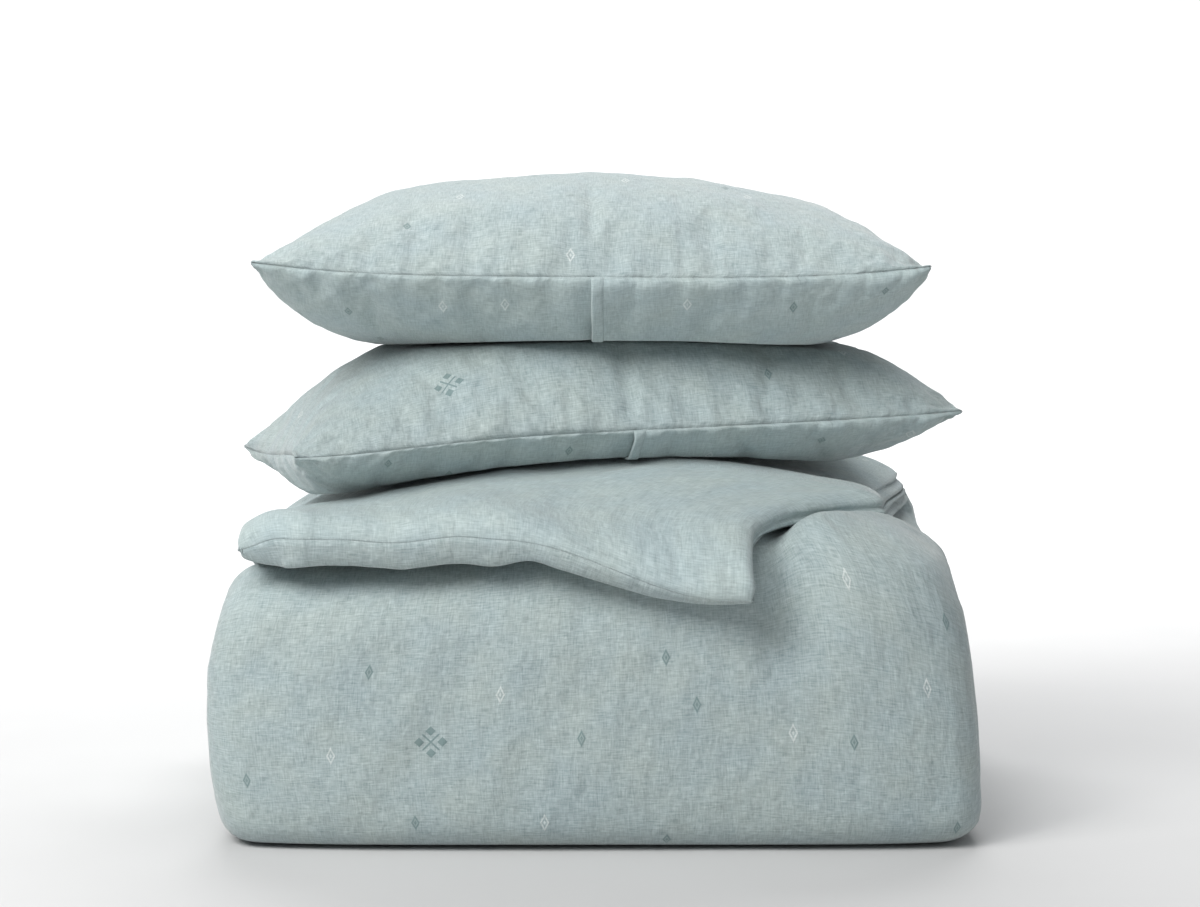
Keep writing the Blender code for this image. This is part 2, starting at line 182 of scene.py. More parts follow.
def arc_lengths(line):
    """Distance travelled along a line of points."""
    steps = np.linalg.norm(np.diff(line, axis=0), axis=1)
    return np.concatenate([[0.0], np.cumsum(steps)])


def flat_cloth(grid):
    """Flat cloth coordinates in metres for a grid, from its middle row and middle column."""
    rows, columns = grid.shape[:2]
    u = arc_lengths(grid[rows // 2])
    v = arc_lengths(grid[:, columns // 2])
    u = u - u[columns // 2]
    flat = np.empty((rows, columns, 2))
    flat[..., 0] = u[None, :]
    flat[..., 1] = v[:, None]
    return flat


def link(name, mesh):
    piece = bpy.data.objects.new(name, mesh)
    bpy.context.scene.collection.objects.link(piece)
    return piece


def grid_faces(rows, columns, flip):
    index = np.arange(rows * columns).reshape(rows, columns)
    quads = [index[:-1, :-1], index[:-1, 1:], index[1:, 1:], index[1:, :-1]]
    faces = np.stack([q.ravel() for q in quads], axis=1)
    return faces[:, ::-1] if flip else faces


def cloth_piece(name, grid, material, flip=False, flat=None, spots=()):
    """A sheet made from a grid, with its flat coordinates and its motifs' places."""
    rows, columns = grid.shape[:2]
    flat = flat_cloth(grid) if flat is None else flat
    faces = grid_faces(rows, columns, flip)
    mesh = bpy.data.meshes.new(name)
    mesh.from_pydata(grid.reshape(-1, 3).tolist(), [], faces.tolist())
    points = flat.reshape(-1, 2)
    corners = points[faces]
    layer = mesh.uv_layers.new(name="cloth")
    layer.data.foreach_set("uv", corners.reshape(-1).astype(np.float32))
    mark_spots(mesh, corners, spots)
    mesh.materials.append(material)
    mesh.shade_smooth()
    return link(name, mesh)


# %% [markdown]
# ## Where the woven motifs lie
# Small diamonds and a few crosses are woven into the linen with thicker thread. They could be
# painted on the whole cloth with one repeating texture, but then they would fall in straight
# rows. Here each face of the mesh stores its own place relative to the nearest motif, and which
# kind of motif it is, and the material draws the motif from that. It stays sharp at any distance.

# %% Motif places
DARK_DIAMOND, PALE_DIAMOND, CROSS = 1, 2, 3
MOTIF_REACH = 0.022
MOTIF_PITCH = 0.088
FAR_AWAY = 1.0


def mark_spots(mesh, corners, spots):
    """Stores each face's place from its nearest motif, and the motif's kind."""
    local = np.full(corners.shape, FAR_AWAY)
    kinds = np.zeros(len(corners), np.float32)
    middle = corners.mean(axis=1)
    for u, v, kind in spots:
        centre = np.array((u, v))
        near = np.abs(middle - centre).max(axis=1) < MOTIF_REACH
        local[near] = corners[near] - centre
        kinds[near] = kind
    layer = mesh.uv_layers.new(name="motif")
    layer.data.foreach_set("uv", local.reshape(-1).astype(np.float32))
    attribute = mesh.attributes.new("motif_kind", "FLOAT", "FACE")
    attribute.data.foreach_set("value", kinds)


def scattered_spots(flat, seed, keep=None):
    """Motifs on a loose lattice over the whole cloth. keep(u, v) says where one may lie."""
    random = np.random.default_rng(seed)
    low, high = flat.reshape(-1, 2).min(axis=0), flat.reshape(-1, 2).max(axis=0)
    spots = []
    row = 0
    v = low[1] + MOTIF_PITCH / 2
    while v < high[1]:
        u = low[0] + MOTIF_PITCH * (0.5 if row % 2 else 1.0)
        while u < high[0]:
            shift = random.uniform(-0.24, 0.24, 2) * MOTIF_PITCH
            pick = random.random()
            kind = CROSS if pick < 0.03 else DARK_DIAMOND if pick < 0.55 else PALE_DIAMOND
            place = (u + shift[0], v + shift[1])
            if keep is None or keep(*place):
                spots.append((place[0], place[1], kind))
            u += MOTIF_PITCH
        v += MOTIF_PITCH * 0.8
        row += 1
    return spots


def spot_near(grid, flat, x, z, kind, back_y=-0.05):
    """The flat coordinates of the front-facing cloth nearest to (x, z)."""
    distance = (grid[..., 0] - x) ** 2 + (grid[..., 2] - z) ** 2
    distance = distance + np.where(grid[..., 1] > back_y, 1.0, 0.0)
    row, column = np.unravel_index(np.argmin(distance), distance.shape)
    return (flat[row, column, 0], flat[row, column, 1], kind)


# %% [markdown]
# ## Washed linen
# Linen is woven from uneven yarns, so short thick slubs run both ways, and washing leaves it
# crumpled and a little mottled. Three effects are shared by both sides of the cover and by the
# shams, so each is a node group: the weave, the mottled dye, and the woven motifs. The same
# groups with other numbers make the close cotton ticking of the fillings.

# %% Node group tools
def new_group(name, inputs, outputs):
    group = bpy.data.node_groups.new(name, "ShaderNodeTree")
    for label, kind, value in inputs:
        socket = group.interface.new_socket(label, in_out="INPUT", socket_type=kind)
        if value is not None:
            socket.default_value = value
    for label, kind in outputs:
        group.interface.new_socket(label, in_out="OUTPUT", socket_type=kind)
    start = group.nodes.new("NodeGroupInput")
    end = group.nodes.new("NodeGroupOutput")
    return group, start, end


def wire(tree, source, target):
    tree.links.new(source, target)


def maths(tree, operation, first, second=None, clamp=False):
    """A Math node. first and second are sockets or numbers."""
    node = tree.nodes.new("ShaderNodeMath")
    node.operation = operation
    node.use_clamp = clamp
    for socket, value in zip(node.inputs, (first, second)):
        if value is None:
            continue
        if isinstance(value, (int, float)):
            socket.default_value = value
        else:
            wire(tree, value, socket)
    return node.outputs[0]


def stretched(tree, vector, scale):
    node = tree.nodes.new("ShaderNodeVectorMath")
    node.operation = "MULTIPLY"
    wire(tree, vector, node.inputs[0])
    node.inputs[1].default_value = scale
    return node.outputs[0]


def noise(tree, vector, scale, detail=2.0, roughness=0.5):
    node = tree.nodes.new("ShaderNodeTexNoise")
    node.inputs["Scale"].default_value = scale
    node.inputs["Detail"].default_value = detail
    node.inputs["Roughness"].default_value = roughness
    wire(tree, vector, node.inputs["Vector"])
    return node.outputs[0]


def mapped(tree, value, low, high, to_low, to_high):
    node = tree.nodes.new("ShaderNodeMapRange")
    node.inputs["From Min"].default_value = low
    node.inputs["From Max"].default_value = high
    node.inputs["To Min"].default_value = to_low
    node.inputs["To Max"].default_value = to_high
    wire(tree, value, node.inputs["Value"])
    return node.outputs[0]


def mix_colour(tree, factor, first, second, blend="MIX"):
    node = tree.nodes.new("ShaderNodeMix")
    node.data_type = "RGBA"
    node.blend_type = blend
    for socket, value in ((node.inputs[0], factor), (node.inputs[6], first), (node.inputs[7], second)):
        if isinstance(value, (int, float, tuple)):
            socket.default_value = value
        else:
            wire(tree, value, socket)
    return node.outputs[2]


# %% Weave group
SLUB_WIDTH = 0.0013      # metres across a slub
SLUB_LENGTH = 0.012


def build_weave():
    """Thread tone and height from flat cloth coordinates."""
    group, start, end = new_group(
        "linen_weave",
        [
            ("Cloth", "NodeSocketVector", None),
            ("Thread Pitch", "NodeSocketFloat", 0.0006),
            ("Slub", "NodeSocketFloat", 1.0),
        ],
        [("Tone", "NodeSocketFloat"), ("Height", "NodeSocketFloat")],
    )
    cloth = start.outputs["Cloth"]
    fine, long = 1.0 / SLUB_WIDTH, 1.0 / SLUB_LENGTH
    weft = noise(group, stretched(group, cloth, (long, fine, 1.0)), 1.0, 3.0, 0.62)
    warp = noise(group, stretched(group, cloth, (fine, long, 1.0)), 1.0, 3.0, 0.62)
    slubs = maths(group, "ADD", maths(group, "MULTIPLY", weft, 0.55),
                  maths(group, "MULTIPLY", warp, 0.45))
    centred = maths(group, "MULTIPLY", maths(group, "SUBTRACT", slubs, 0.5), start.outputs["Slub"])
    split = group.nodes.new("ShaderNodeSeparateXYZ")
    wire(group, cloth, split.inputs[0])
    turns = maths(group, "DIVIDE", math.pi, start.outputs["Thread Pitch"])
    across = maths(group, "SINE", maths(group, "MULTIPLY", split.outputs[0], turns))
    along = maths(group, "SINE", maths(group, "MULTIPLY", split.outputs[1], turns))
    crossing = maths(group, "MULTIPLY", across, along)
    tone = maths(group, "ADD", maths(group, "MULTIPLY", centred, 3.4), 0.5)
    tone = maths(group, "ADD", tone, maths(group, "MULTIPLY", crossing, 0.10), clamp=True)
    height = maths(group, "ADD", centred, maths(group, "MULTIPLY", crossing, 0.22))
    wire(group, tone, end.inputs["Tone"])
    wire(group, height, end.inputs["Height"])
    return group


WEAVE = build_weave()


# %% Mottled dye group
def build_mottle():
    """Cloudy colour between a cool and a warm tint of the same dye, and crumples left by washing."""
    group, start, end = new_group(
        "washed_mottle",
        [
            ("Cloth", "NodeSocketVector", None),
            ("Cool", "NodeSocketColor", (0.5, 0.5, 0.5, 1.0)),
            ("Warm", "NodeSocketColor", (0.5, 0.5, 0.5, 1.0)),
        ],
        [("Color", "NodeSocketColor"), ("Crumple", "NodeSocketFloat")],
    )
    cloth = start.outputs["Cloth"]
    clouds = noise(group, cloth, 17.0, 3.0, 0.55)
    share = mapped(group, clouds, 0.34, 0.66, 0.0, 1.0)
    dyed = mix_colour(group, share, start.outputs["Cool"], start.outputs["Warm"])
    wire(group, dyed, end.inputs["Color"])
    dents = noise(group, stretched(group, cloth, (1.0, 0.8, 1.0)), 95.0, 2.0, 0.5)
    folds = noise(group, stretched(group, cloth, (1.4, 0.6, 1.0)), 34.0, 2.0, 0.5)
    crumple = maths(group, "ADD", maths(group, "MULTIPLY", dents, 0.45),
                    maths(group, "MULTIPLY", folds, 1.3))
    wire(group, crumple, end.inputs["Crumple"])
    return group


MOTTLE = build_mottle()


# %% Woven motif group
DIAMOND = (0.0042, 0.0085)     # half width and half height
CROSS_ARM = 0.0105             # from the cross's middle to the middle of an arm's diamond
CROSS_DIAMOND = 0.0046


def diamond_size(tree, u, v, width, height):
    """1 at the diamond's outline, less inside."""
    return maths(tree, "ADD", maths(tree, "DIVIDE", maths(tree, "ABSOLUTE", u), width),
                 maths(tree, "DIVIDE", maths(tree, "ABSOLUTE", v), height))


def inside(tree, size, edge, soft=0.08):
    return mapped(tree, size, edge + soft, edge - soft, 0.0, 1.0)


def build_motif():
    """Dark and pale motif masks from a face's place near its motif."""
    group, start, end = new_group(
        "woven_motif",
        [("Place", "NodeSocketVector", None), ("Kind", "NodeSocketFloat", 0.0)],
        [("Dark", "NodeSocketFloat"), ("Pale", "NodeSocketFloat"), ("Height", "NodeSocketFloat")],
    )
    split = group.nodes.new("ShaderNodeSeparateXYZ")
    wire(group, start.outputs["Place"], split.inputs[0])
    u, v = split.outputs[0], split.outputs[1]
    size = diamond_size(group, u, v, *DIAMOND)
    body = inside(group, size, 1.0)
    rings = maths(group, "SINE", maths(group, "MULTIPLY", size, 11.0))
    rungs = mapped(group, rings, -0.6, 0.6, 0.45, 1.0)
    solid_diamond = maths(group, "MULTIPLY", body, rungs)
    hollow = maths(group, "SUBTRACT", body, inside(group, size, 0.62), clamp=True)
    heart = inside(group, size, 0.26)
    open_diamond = maths(group, "ADD", hollow, heart, clamp=True)
    tall, wide = maths(group, "ABSOLUTE", v), maths(group, "ABSOLUTE", u)
    arms = [
        diamond_size(group, u, maths(group, "SUBTRACT", tall, CROSS_ARM), CROSS_DIAMOND, CROSS_DIAMOND),
        diamond_size(group, maths(group, "SUBTRACT", wide, CROSS_ARM), v, CROSS_DIAMOND, CROSS_DIAMOND),
    ]
    corner = maths(group, "SUBTRACT", maths(group, "MAXIMUM", tall, wide), 0.0078)
    off_diagonal = maths(group, "ABSOLUTE", maths(group, "SUBTRACT", tall, wide))
    diagonal = maths(group, "SUBTRACT", off_diagonal, 0.0011)
    stroke = maths(group, "MULTIPLY", inside(group, diagonal, 0.0, 0.0004),
                   inside(group, corner, 0.0, 0.0004))
    cross = maths(group, "MAXIMUM", inside(group, arms[0], 1.0), inside(group, arms[1], 1.0))
    cross = maths(group, "MAXIMUM", cross, stroke)
    kind = start.outputs["Kind"]
    chosen = [maths(group, "COMPARE", kind, float(k)) for k in (DARK_DIAMOND, PALE_DIAMOND, CROSS)]
    for node in chosen:
        node.node.inputs[2].default_value = 0.3
    dark = maths(group, "ADD", maths(group, "MULTIPLY", solid_diamond, chosen[0]),
                 maths(group, "MULTIPLY", cross, chosen[2]), clamp=True)
    pale = maths(group, "MULTIPLY", open_diamond, chosen[1])
    wire(group, dark, end.inputs["Dark"])
    wire(group, pale, end.inputs["Pale"])
    wire(group, maths(group, "ADD", dark, pale, clamp=True), end.inputs["Height"])
    return group


MOTIF = build_motif()
print("node groups", WEAVE.name, MOTTLE.name, MOTIF.name)


# %% [markdown]
# ## The linen, the ticking and the rest
# A cloth material has three jobs: the colour of each thread, how the threads catch light, and
# the relief of weave and crumples. Sheen gives the soft pale rim that brushed or washed fibres
# have. The Principled shader stays in each material; only masks and heights come from groups.

# %% Cloth materials
def place_group(tree, group, **inputs):
    node = tree.nodes.new("ShaderNodeGroup")
    node.node_tree = group
    for label, value in inputs.items():
        socket = node.inputs[label.replace("_", " ")]
        if isinstance(value, (int, float, tuple)):
            socket.default_value = value
        else:
            wire(tree, value, socket)
    return node


def bump(tree, height, distance, strength=1.0, under=None):
    node = tree.nodes.new("ShaderNodeBump")
    node.inputs["Distance"].default_value = distance
    node.inputs["Strength"].default_value = strength
    wire(tree, height, node.inputs["Height"])
    if under is not None:
        wire(tree, under, node.inputs["Normal"])
    return node.outputs[0]


DARK_THREAD = (0.10, 0.175, 0.175, 1.0)
PALE_THREAD = (0.78, 0.82, 0.80, 1.0)
WHITE = (1.0, 1.0, 1.0, 1.0)


def cloth_material(name, cool, warm, contrast, pitch, slub, relief, sheen, motif=False):
    """relief holds the bump distances, in metres, of the crumples and of the weave."""
    made = bpy.data.materials.new(name)
    made.use_nodes = True
    tree = made.node_tree
    shader = tree.nodes["Principled BSDF"]
    shader.inputs["Sheen Weight"].default_value = sheen
    shader.inputs["Sheen Roughness"].default_value = 0.45
    shader.inputs["Specular IOR Level"].default_value = 0.25
    cloth = tree.nodes.new("ShaderNodeUVMap")
    cloth.uv_map = "cloth"
    flat = cloth.outputs[0]
    weave = place_group(tree, WEAVE, Cloth=flat, Thread_Pitch=pitch, Slub=slub)
    mottle = place_group(tree, MOTTLE, Cloth=flat, Cool=cool, Warm=warm)
    dyed = mottle.outputs["Color"]
    darker = 1.0 - contrast
    deep = mix_colour(tree, 1.0, dyed, (darker, darker, darker, 1.0), "MULTIPLY")
    lift = mix_colour(tree, contrast * 0.55, dyed, WHITE)
    colour = mix_colour(tree, weave.outputs["Tone"], deep, lift)
    rough = mapped(tree, weave.outputs["Tone"], 0.0, 1.0, 0.92, 0.78)
    relief_of = bump(tree, mottle.outputs["Crumple"], relief[0])
    relief_of = bump(tree, weave.outputs["Height"], relief[1], under=relief_of)
    if motif:
        place = tree.nodes.new("ShaderNodeUVMap")
        place.uv_map = "motif"
        kind = tree.nodes.new("ShaderNodeAttribute")
        kind.attribute_name = "motif_kind"
        woven = place_group(tree, MOTIF, Place=place.outputs[0], Kind=kind.outputs["Fac"])
        threaded = mapped(tree, weave.outputs["Tone"], 0.2, 0.8, 0.55, 1.0)
        dark = maths(tree, "MULTIPLY", woven.outputs["Dark"], threaded)
        pale = maths(tree, "MULTIPLY", woven.outputs["Pale"], threaded)
        colour = mix_colour(tree, maths(tree, "MULTIPLY", dark, 0.8), colour, DARK_THREAD)
        colour = mix_colour(tree, maths(tree, "MULTIPLY", pale, 0.6), colour, PALE_THREAD)
        relief_of = bump(tree, woven.outputs["Height"], 0.0002, under=relief_of)
    wire(tree, colour, shader.inputs["Base Color"])
    wire(tree, rough, shader.inputs["Roughness"])
    wire(tree, relief_of, shader.inputs["Normal"])
    return made


COOL = (0.350, 0.448, 0.462, 1.0)
WARM = (0.388, 0.474, 0.462, 1.0)
REVERSE_COOL_PAINTED_LIGHT = (0.396, 0.504, 0.520, 1.0)     # paler than the face; the paleness is painted light for the free end's lit top
REVERSE_WARM_PAINTED_LIGHT = (0.436, 0.532, 0.520, 1.0)
COTTON_COOL = (0.80, 0.79, 0.76, 1.0)
COTTON_WARM = (0.84, 0.83, 0.79, 1.0)
LINEN = {"pitch": 0.0007, "relief": (0.0030, 0.0003), "sheen": 0.35, "motif": True}
COTTON = {"pitch": 0.0004, "relief": (0.0015, 0.0001), "sheen": 0.2}
LINEN_FACE = cloth_material("linen_face", COOL, WARM, 0.30, slub=1.0, **LINEN)
# The reverse linen's paler tint is painted light: it brightens the free end's upward-facing top, and
# the same tint also lies on the sham backs and the cover's reverse.
LINEN_REVERSE = cloth_material("linen_reverse", REVERSE_COOL_PAINTED_LIGHT, REVERSE_WARM_PAINTED_LIGHT, 0.28, slub=0.9, **LINEN)
TICKING = cloth_material("insert_cloth", COTTON_COOL, COTTON_WARM, 0.06, slub=0.35, **COTTON)
print("cloth materials", LINEN_FACE.name, LINEN_REVERSE.name, TICKING.name)


# %% [markdown]
# ## The folded duvet
# The duvet lies folded in thirds across its width, then back and forth along its length. Its
# side view is one long line: an inner layer, a low fold at the back, the bottom layer, one large
# fold at the front, an upper layer, a high fold at the back, and the free end on top. The line
# could be drawn by hand, but the folds and the straight runs are simple curves, so they are
# computed, with a point for the face side and one for the reverse side at every step.

# %% The folded line
COVER_LOW, COVER_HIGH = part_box("cover_face_panel")
LAYER_THICK = 0.090
LAYER_GAP = 0.006
FREE_END_THICK = 0.045
FRONT_Y = COVER_LOW[1]
BACK_Y = COVER_HIGH[1] + 0.002
LEVEL_2 = 1.5 * LAYER_THICK + LAYER_GAP
LEVEL_3 = LEVEL_2 + LAYER_THICK + LAYER_GAP
LEVEL_3_TOP = LEVEL_3 + LAYER_THICK / 2
LEVEL_4_BOTTOM = LEVEL_3_TOP + LAYER_GAP
LEVEL_4_TOP = LEVEL_4_BOTTOM + FREE_END_THICK
FOLD_POWER = 2.5                 # 2 is a round fold, more is a fuller one
FOLD_LOW_POWER = 8.0             # the bottom of the fold is pressed down by the stack
FOLD_TOP_POWER = 4.2             # the fold is fullest under the free end
END_Y = FRONT_Y + 0.132          # the closure end, hidden inside the front fold
HEM_WIDTH = 0.024
HEM_RISE = 0.0035
TAPER = 0.042
SPLIT_Y = -0.095                 # the free end is its own piece from here forward
HEM_STEPS_Y, TAPER_STEPS, INNER_STEPS = 4, 8, 30
FOLD_STEPS, BOTTOM_STEPS, LARGE_STEPS, UPPER_STEPS, LAST_STEPS = 42, 40, 84, 46, 50


def straight(start, stop, face_z, reverse_z, steps):
    y = np.linspace(start, stop, steps, endpoint=False)
    level = np.ones(steps)
    return np.stack([y, face_z * level, y, reverse_z * level], axis=1)


def half_turn(centre, start, face_radii, reverse_radii, steps):
    share = np.arange(steps) / steps
    angle = np.radians(start + (-180.0 if start > 0.0 else 180.0) * share)
    columns = []
    for first, last in (face_radii, reverse_radii):
        radius = first + (last - first) * ease(share)
        columns += [centre[0] + radius * np.cos(angle), centre[1] + radius * np.sin(angle)]
    return np.stack(columns, axis=1)


def large_fold(steps):
    angle = np.pi * np.arange(steps) / steps
    side, height = np.sin(angle), -np.cos(angle)
    middle_y = FRONT_Y + LEVEL_2
    outer = FOLD_LOW_POWER + (FOLD_TOP_POWER - FOLD_LOW_POWER) * ease(height + 0.15)
    columns = []
    for run, rise, power in (
        (LEVEL_2, LEVEL_3_TOP / 2, outer),
        (LEVEL_2 - LAYER_THICK, LEVEL_2 - LAYER_THICK, FOLD_POWER),
    ):
        reach = (np.abs(side) ** power + np.abs(height) ** power) ** (-1.0 / power)
        columns += [middle_y - run * side * reach, LEVEL_2 + rise * height * reach]
    return np.stack(columns, axis=1)


def folded_line():
    """Rows of face y, face z, reverse y and reverse z, from the closure end to the free end."""
    back = BACK_Y - LAYER_THICK - LAYER_GAP / 2
    front = FRONT_Y + LEVEL_2
    radius, crease, half = LAYER_THICK + LAYER_GAP / 2, LAYER_GAP / 2, LAYER_THICK / 2
    hem_end = END_Y + HEM_WIDTH
    taper = np.linspace(0.0, 1.0, TAPER_STEPS, endpoint=False)
    rise = HEM_RISE + (half - HEM_RISE) * np.sin(taper * np.pi / 2)
    y = hem_end + TAPER * taper
    closing = np.stack([y, LEVEL_2 + rise, y, LEVEL_2 - rise], axis=1)
    rows = [
        straight(END_Y, hem_end, LEVEL_2 + HEM_RISE, LEVEL_2 - HEM_RISE, HEM_STEPS_Y),
        closing,
        straight(hem_end + TAPER, back, LEVEL_2 + half, LEVEL_2 - half, INNER_STEPS),
        half_turn((back, LAYER_THICK + LAYER_GAP / 2), 90.0, (radius, radius), (crease, crease),
                  FOLD_STEPS),
        straight(back, front, 0.0, LAYER_THICK, BOTTOM_STEPS),
        large_fold(LARGE_STEPS),
        straight(front, back, LEVEL_3_TOP, LEVEL_3 - half, UPPER_STEPS),
        half_turn((back, LEVEL_3_TOP + LAYER_GAP / 2), -90.0, (crease, crease),
                  (radius, FREE_END_THICK + LAYER_GAP / 2), FOLD_STEPS),
        straight(back, SPLIT_Y, LEVEL_4_BOTTOM, LEVEL_4_TOP, LAST_STEPS),
    ]
    line = np.concatenate(rows)
    last = np.array([[SPLIT_Y, LEVEL_4_BOTTOM, SPLIT_Y, LEVEL_4_TOP]])
    return np.concatenate([line, last])


LINE = folded_line()
LAST_START = len(LINE) - LAST_STEPS - 1      # the last layer's first row
print("folded line:", len(LINE), "steps,", round(arc_lengths(LINE[:, :2]).max(), 2), "m of face cloth")

# %% [markdown]
# ## How the stack settles
# Soft layers don't stay level. The stack is highest a little right of the middle, falls away to
# both sides, and bulges in width below its middle. One function moves any point of the plain
# stack to its settled place, so the layers keep their order and never cut through each other.

# %% Settling
HALF_WIDTH = COVER_HIGH[0] / 1.012
FREE_LEFT = -0.312
FREE_RIGHT = 0.140
FRONT_TOP = (LEVEL_4_TOP - 0.030, LEVEL_4_TOP + 0.012)
TOP_MIDDLE = LEVEL_4_TOP + 0.015
TOP_MIDDLE_X = 0.04
TOP_FALL = 0.40
FRONT_FALL = 1.2
HINGE_Y = FRONT_Y + 0.062
SIDE_HEIGHTS = (0.0, 0.02, 0.07, 0.117, 0.165, 0.213, 0.262, 0.300, 0.340)
LEFT_SHARES = (0.975, 0.986, 1.000, 1.006, 0.998, 0.972, 0.935, 0.905, 0.880)
RIGHT_SHARES = (0.965, 0.980, 0.975, 0.966, 0.950, 0.930, 0.885, 0.800, 0.710)
FLARE_BACK = -0.145              # the free end narrows between these two places
FLARE_FRONT = -0.252
SIDE_DROP = 1.3                  # extra fall per metre squared at the far left
RIDGE_RISE = 0.125               # how far the fold swells up beside the free end's corner
CORNER_SET_BACK = 0.022          # rounds the front corners as seen from above


def front_height(x):
    slope = (FRONT_TOP[1] - FRONT_TOP[0]) / (FREE_RIGHT - FREE_LEFT)
    past = np.maximum(0.0, x - FREE_RIGHT)
    return FRONT_TOP[0] + slope * (np.minimum(x, FREE_RIGHT) - FREE_LEFT) - FRONT_FALL * past * past


def top_height(x):
    past = np.maximum(0.0, -0.20 - x)
    return TOP_MIDDLE - TOP_FALL * (x - TOP_MIDDLE_X) ** 2 - SIDE_DROP * past * past


def free_edge(y):
    """Where the free end's right edge runs over the fold."""
    return FREE_RIGHT + 0.006 + 0.88 * np.clip(y - FLARE_FRONT, 0.0, FLARE_BACK - FLARE_FRONT)


def ridge(x, y, z):
    """The fold swells up where no free end lies on it."""
    beside = ease((x - free_edge(y) - 0.012) / 0.075)
    return 1.0 + RIDGE_RISE * beside * ease((-0.085 - y) / 0.07) * ease((z - 0.10) / 0.16)


def settle(x, y, z):
    """Settled place of a point of the plain stack."""
    share = ease((y - HINGE_Y - 0.010) / (END_Y - HINGE_Y - 0.010))
    height = (front_height(x) * (1.0 - share) + top_height(x) * share) / LEVEL_4_TOP
    settled = 0.001 + (z - 0.001) * height * ridge(x, y, z)
    left = np.interp(settled, SIDE_HEIGHTS, LEFT_SHARES)
    right = np.interp(settled, SIDE_HEIGHTS, RIGHT_SHARES)
    width = left + (right - left) * ease(x / 0.4 + 0.5)
    back = ease((y + 0.02) / 0.22)
    width = width + (1.0 - width) * 0.3 * back
    corner = CORNER_SET_BACK * (np.abs(x) / HALF_WIDTH) ** 6 * ease((-0.10 - y) / 0.10)
    return np.stack([x * width, y + corner, settled], axis=-1)


# %% [markdown]
# ## The side of a layer
# Each layer is the duvet folded in thirds, so its side shows three plies, one above the other,
# with a soft groove between them. The seam of the cover runs in the middle ply. Both cover
# panels follow the same side shape, so they meet along that seam.

# %% Layer sheets
SIDE_ROUND = 0.045
PLY_GROOVE = 0.008
SIDE_POWER = 2.9                 # 2 is a round side, more is a fuller one
SPLIT_DRAW_LEFT = 0.018          # how far in the last layer's sides are where the free end begins
SPLIT_DRAW_RIGHT = 0.030
FLAT_CELLS = 112
ROUND_CELLS = 14
SEAM_TUCK = 0.004


def side_shape():
    """Across a layer: flat share from -1 to 1, how far out, and how high, from 1 to 0 at the seam."""
    flat = np.linspace(-1.0, 1.0, FLAT_CELLS + 1)
    turn = np.linspace(0.0, np.pi / 2, ROUND_CELLS + 1)[1:]
    high = np.cos(turn)
    full = (np.sin(turn) ** SIDE_POWER + high ** SIDE_POWER) ** (-1.0 / SIDE_POWER)
    high = high * full
    out = np.sin(turn) * full - PLY_GROOVE / SIDE_ROUND * bump_at(high, 0.36, 0.13)
    out[-1] -= SEAM_TUCK / SIDE_ROUND
    share = np.concatenate([-np.ones(ROUND_CELLS), flat, np.ones(ROUND_CELLS)])
    reach = np.concatenate([-out[::-1], np.zeros(FLAT_CELLS + 1), out])
    height = np.concatenate([high[::-1], np.ones(FLAT_CELLS + 1), high])
    return share, reach, height


SIDE_SHARE, SIDE_REACH, SIDE_HIGH = side_shape()


def side_limits(rows):
    """Left and right edges of each row; the last layer narrows towards the front."""
    run = LINE[LAST_START, 0] - SPLIT_Y
    share = np.where(rows >= LAST_START, (LINE[LAST_START, 0] - LINE[rows, 0]) / run, 0.0)
    share = np.clip(share, 0.0, 1.0) ** 1.4
    return -HALF_WIDTH + share * SPLIT_DRAW_LEFT, HALF_WIDTH - share * SPLIT_DRAW_RIGHT


def plain_layer(side, rows):
    """Unsettled points (x, y, z) of one side of the folded layers."""
    face, reverse = LINE[rows, 0:2], LINE[rows, 2:4]
    middle, half = (face + reverse) / 2, (face - reverse) / 2
    left, right = side_limits(rows)
    flat = (right - left) / 2 - SIDE_ROUND
    x = ((left + right) / 2)[:, None] + flat[:, None] * SIDE_SHARE + SIDE_ROUND * SIDE_REACH
    yz = middle[:, None, :] + side * half[:, None, :] * SIDE_HIGH[None, :, None]
    return x, yz[..., 0], yz[..., 1]


def layer_sheet(side, rows):
    return settle(*plain_layer(side, rows))


# %% [markdown]
# ## Wrinkles of the cover
# The filling holds the big fold smooth. What shows are broad soft swells, a few long slanting
# wrinkles, and a hollow where the free end's corner presses on the fold. They are added along
# the cloth's own normal, and fade out at the seams so that the panels still meet.

# %% Cover wrinkles
ALL_ROWS = np.arange(len(LINE))
LOWEST = 0.0006                  # the cover's underside never dips below this
RUN_STRENGTHS = (
    (HEM_STEPS_Y + TAPER_STEPS, 0.4), (INNER_STEPS, 0.3), (FOLD_STEPS, 1.0), (BOTTOM_STEPS, 0.4),
    (LARGE_STEPS, 1.0), (UPPER_STEPS, 0.35), (FOLD_STEPS, 1.0), (LAST_STEPS + 1, 0.7),
)


def row_strength():
    """Wrinkles are full on the folds and weak where layers press on each other."""
    plain = np.concatenate([np.full(count, level) for count, level in RUN_STRENGTHS])
    padded = np.pad(plain, 6, mode="edge")
    return np.convolve(padded, np.ones(13) / 13, mode="valid")


ROW_STRENGTH = row_strength()


def relieve(grid, flat, side, fade):
    """Moves a sheet outward along its normals by soft wrinkles, in metres times fade."""
    u, v = flat[..., 0], flat[..., 1]
    height = 0.0030 * ripple(u, v, 0.16, 11)
    height += 0.0016 * ripple(u, v, 0.062, 12)
    height += 0.0016 * creases(u, v, 62.0, 0.20, 0.034, 21)
    height += 0.0010 * creases(u, v, 105.0, 0.13, 0.021, 31)
    height += 0.00045 * ripple(u, v, 0.014, 13)
    return grid + normals_of(grid) * (side * fade * height)[..., None]


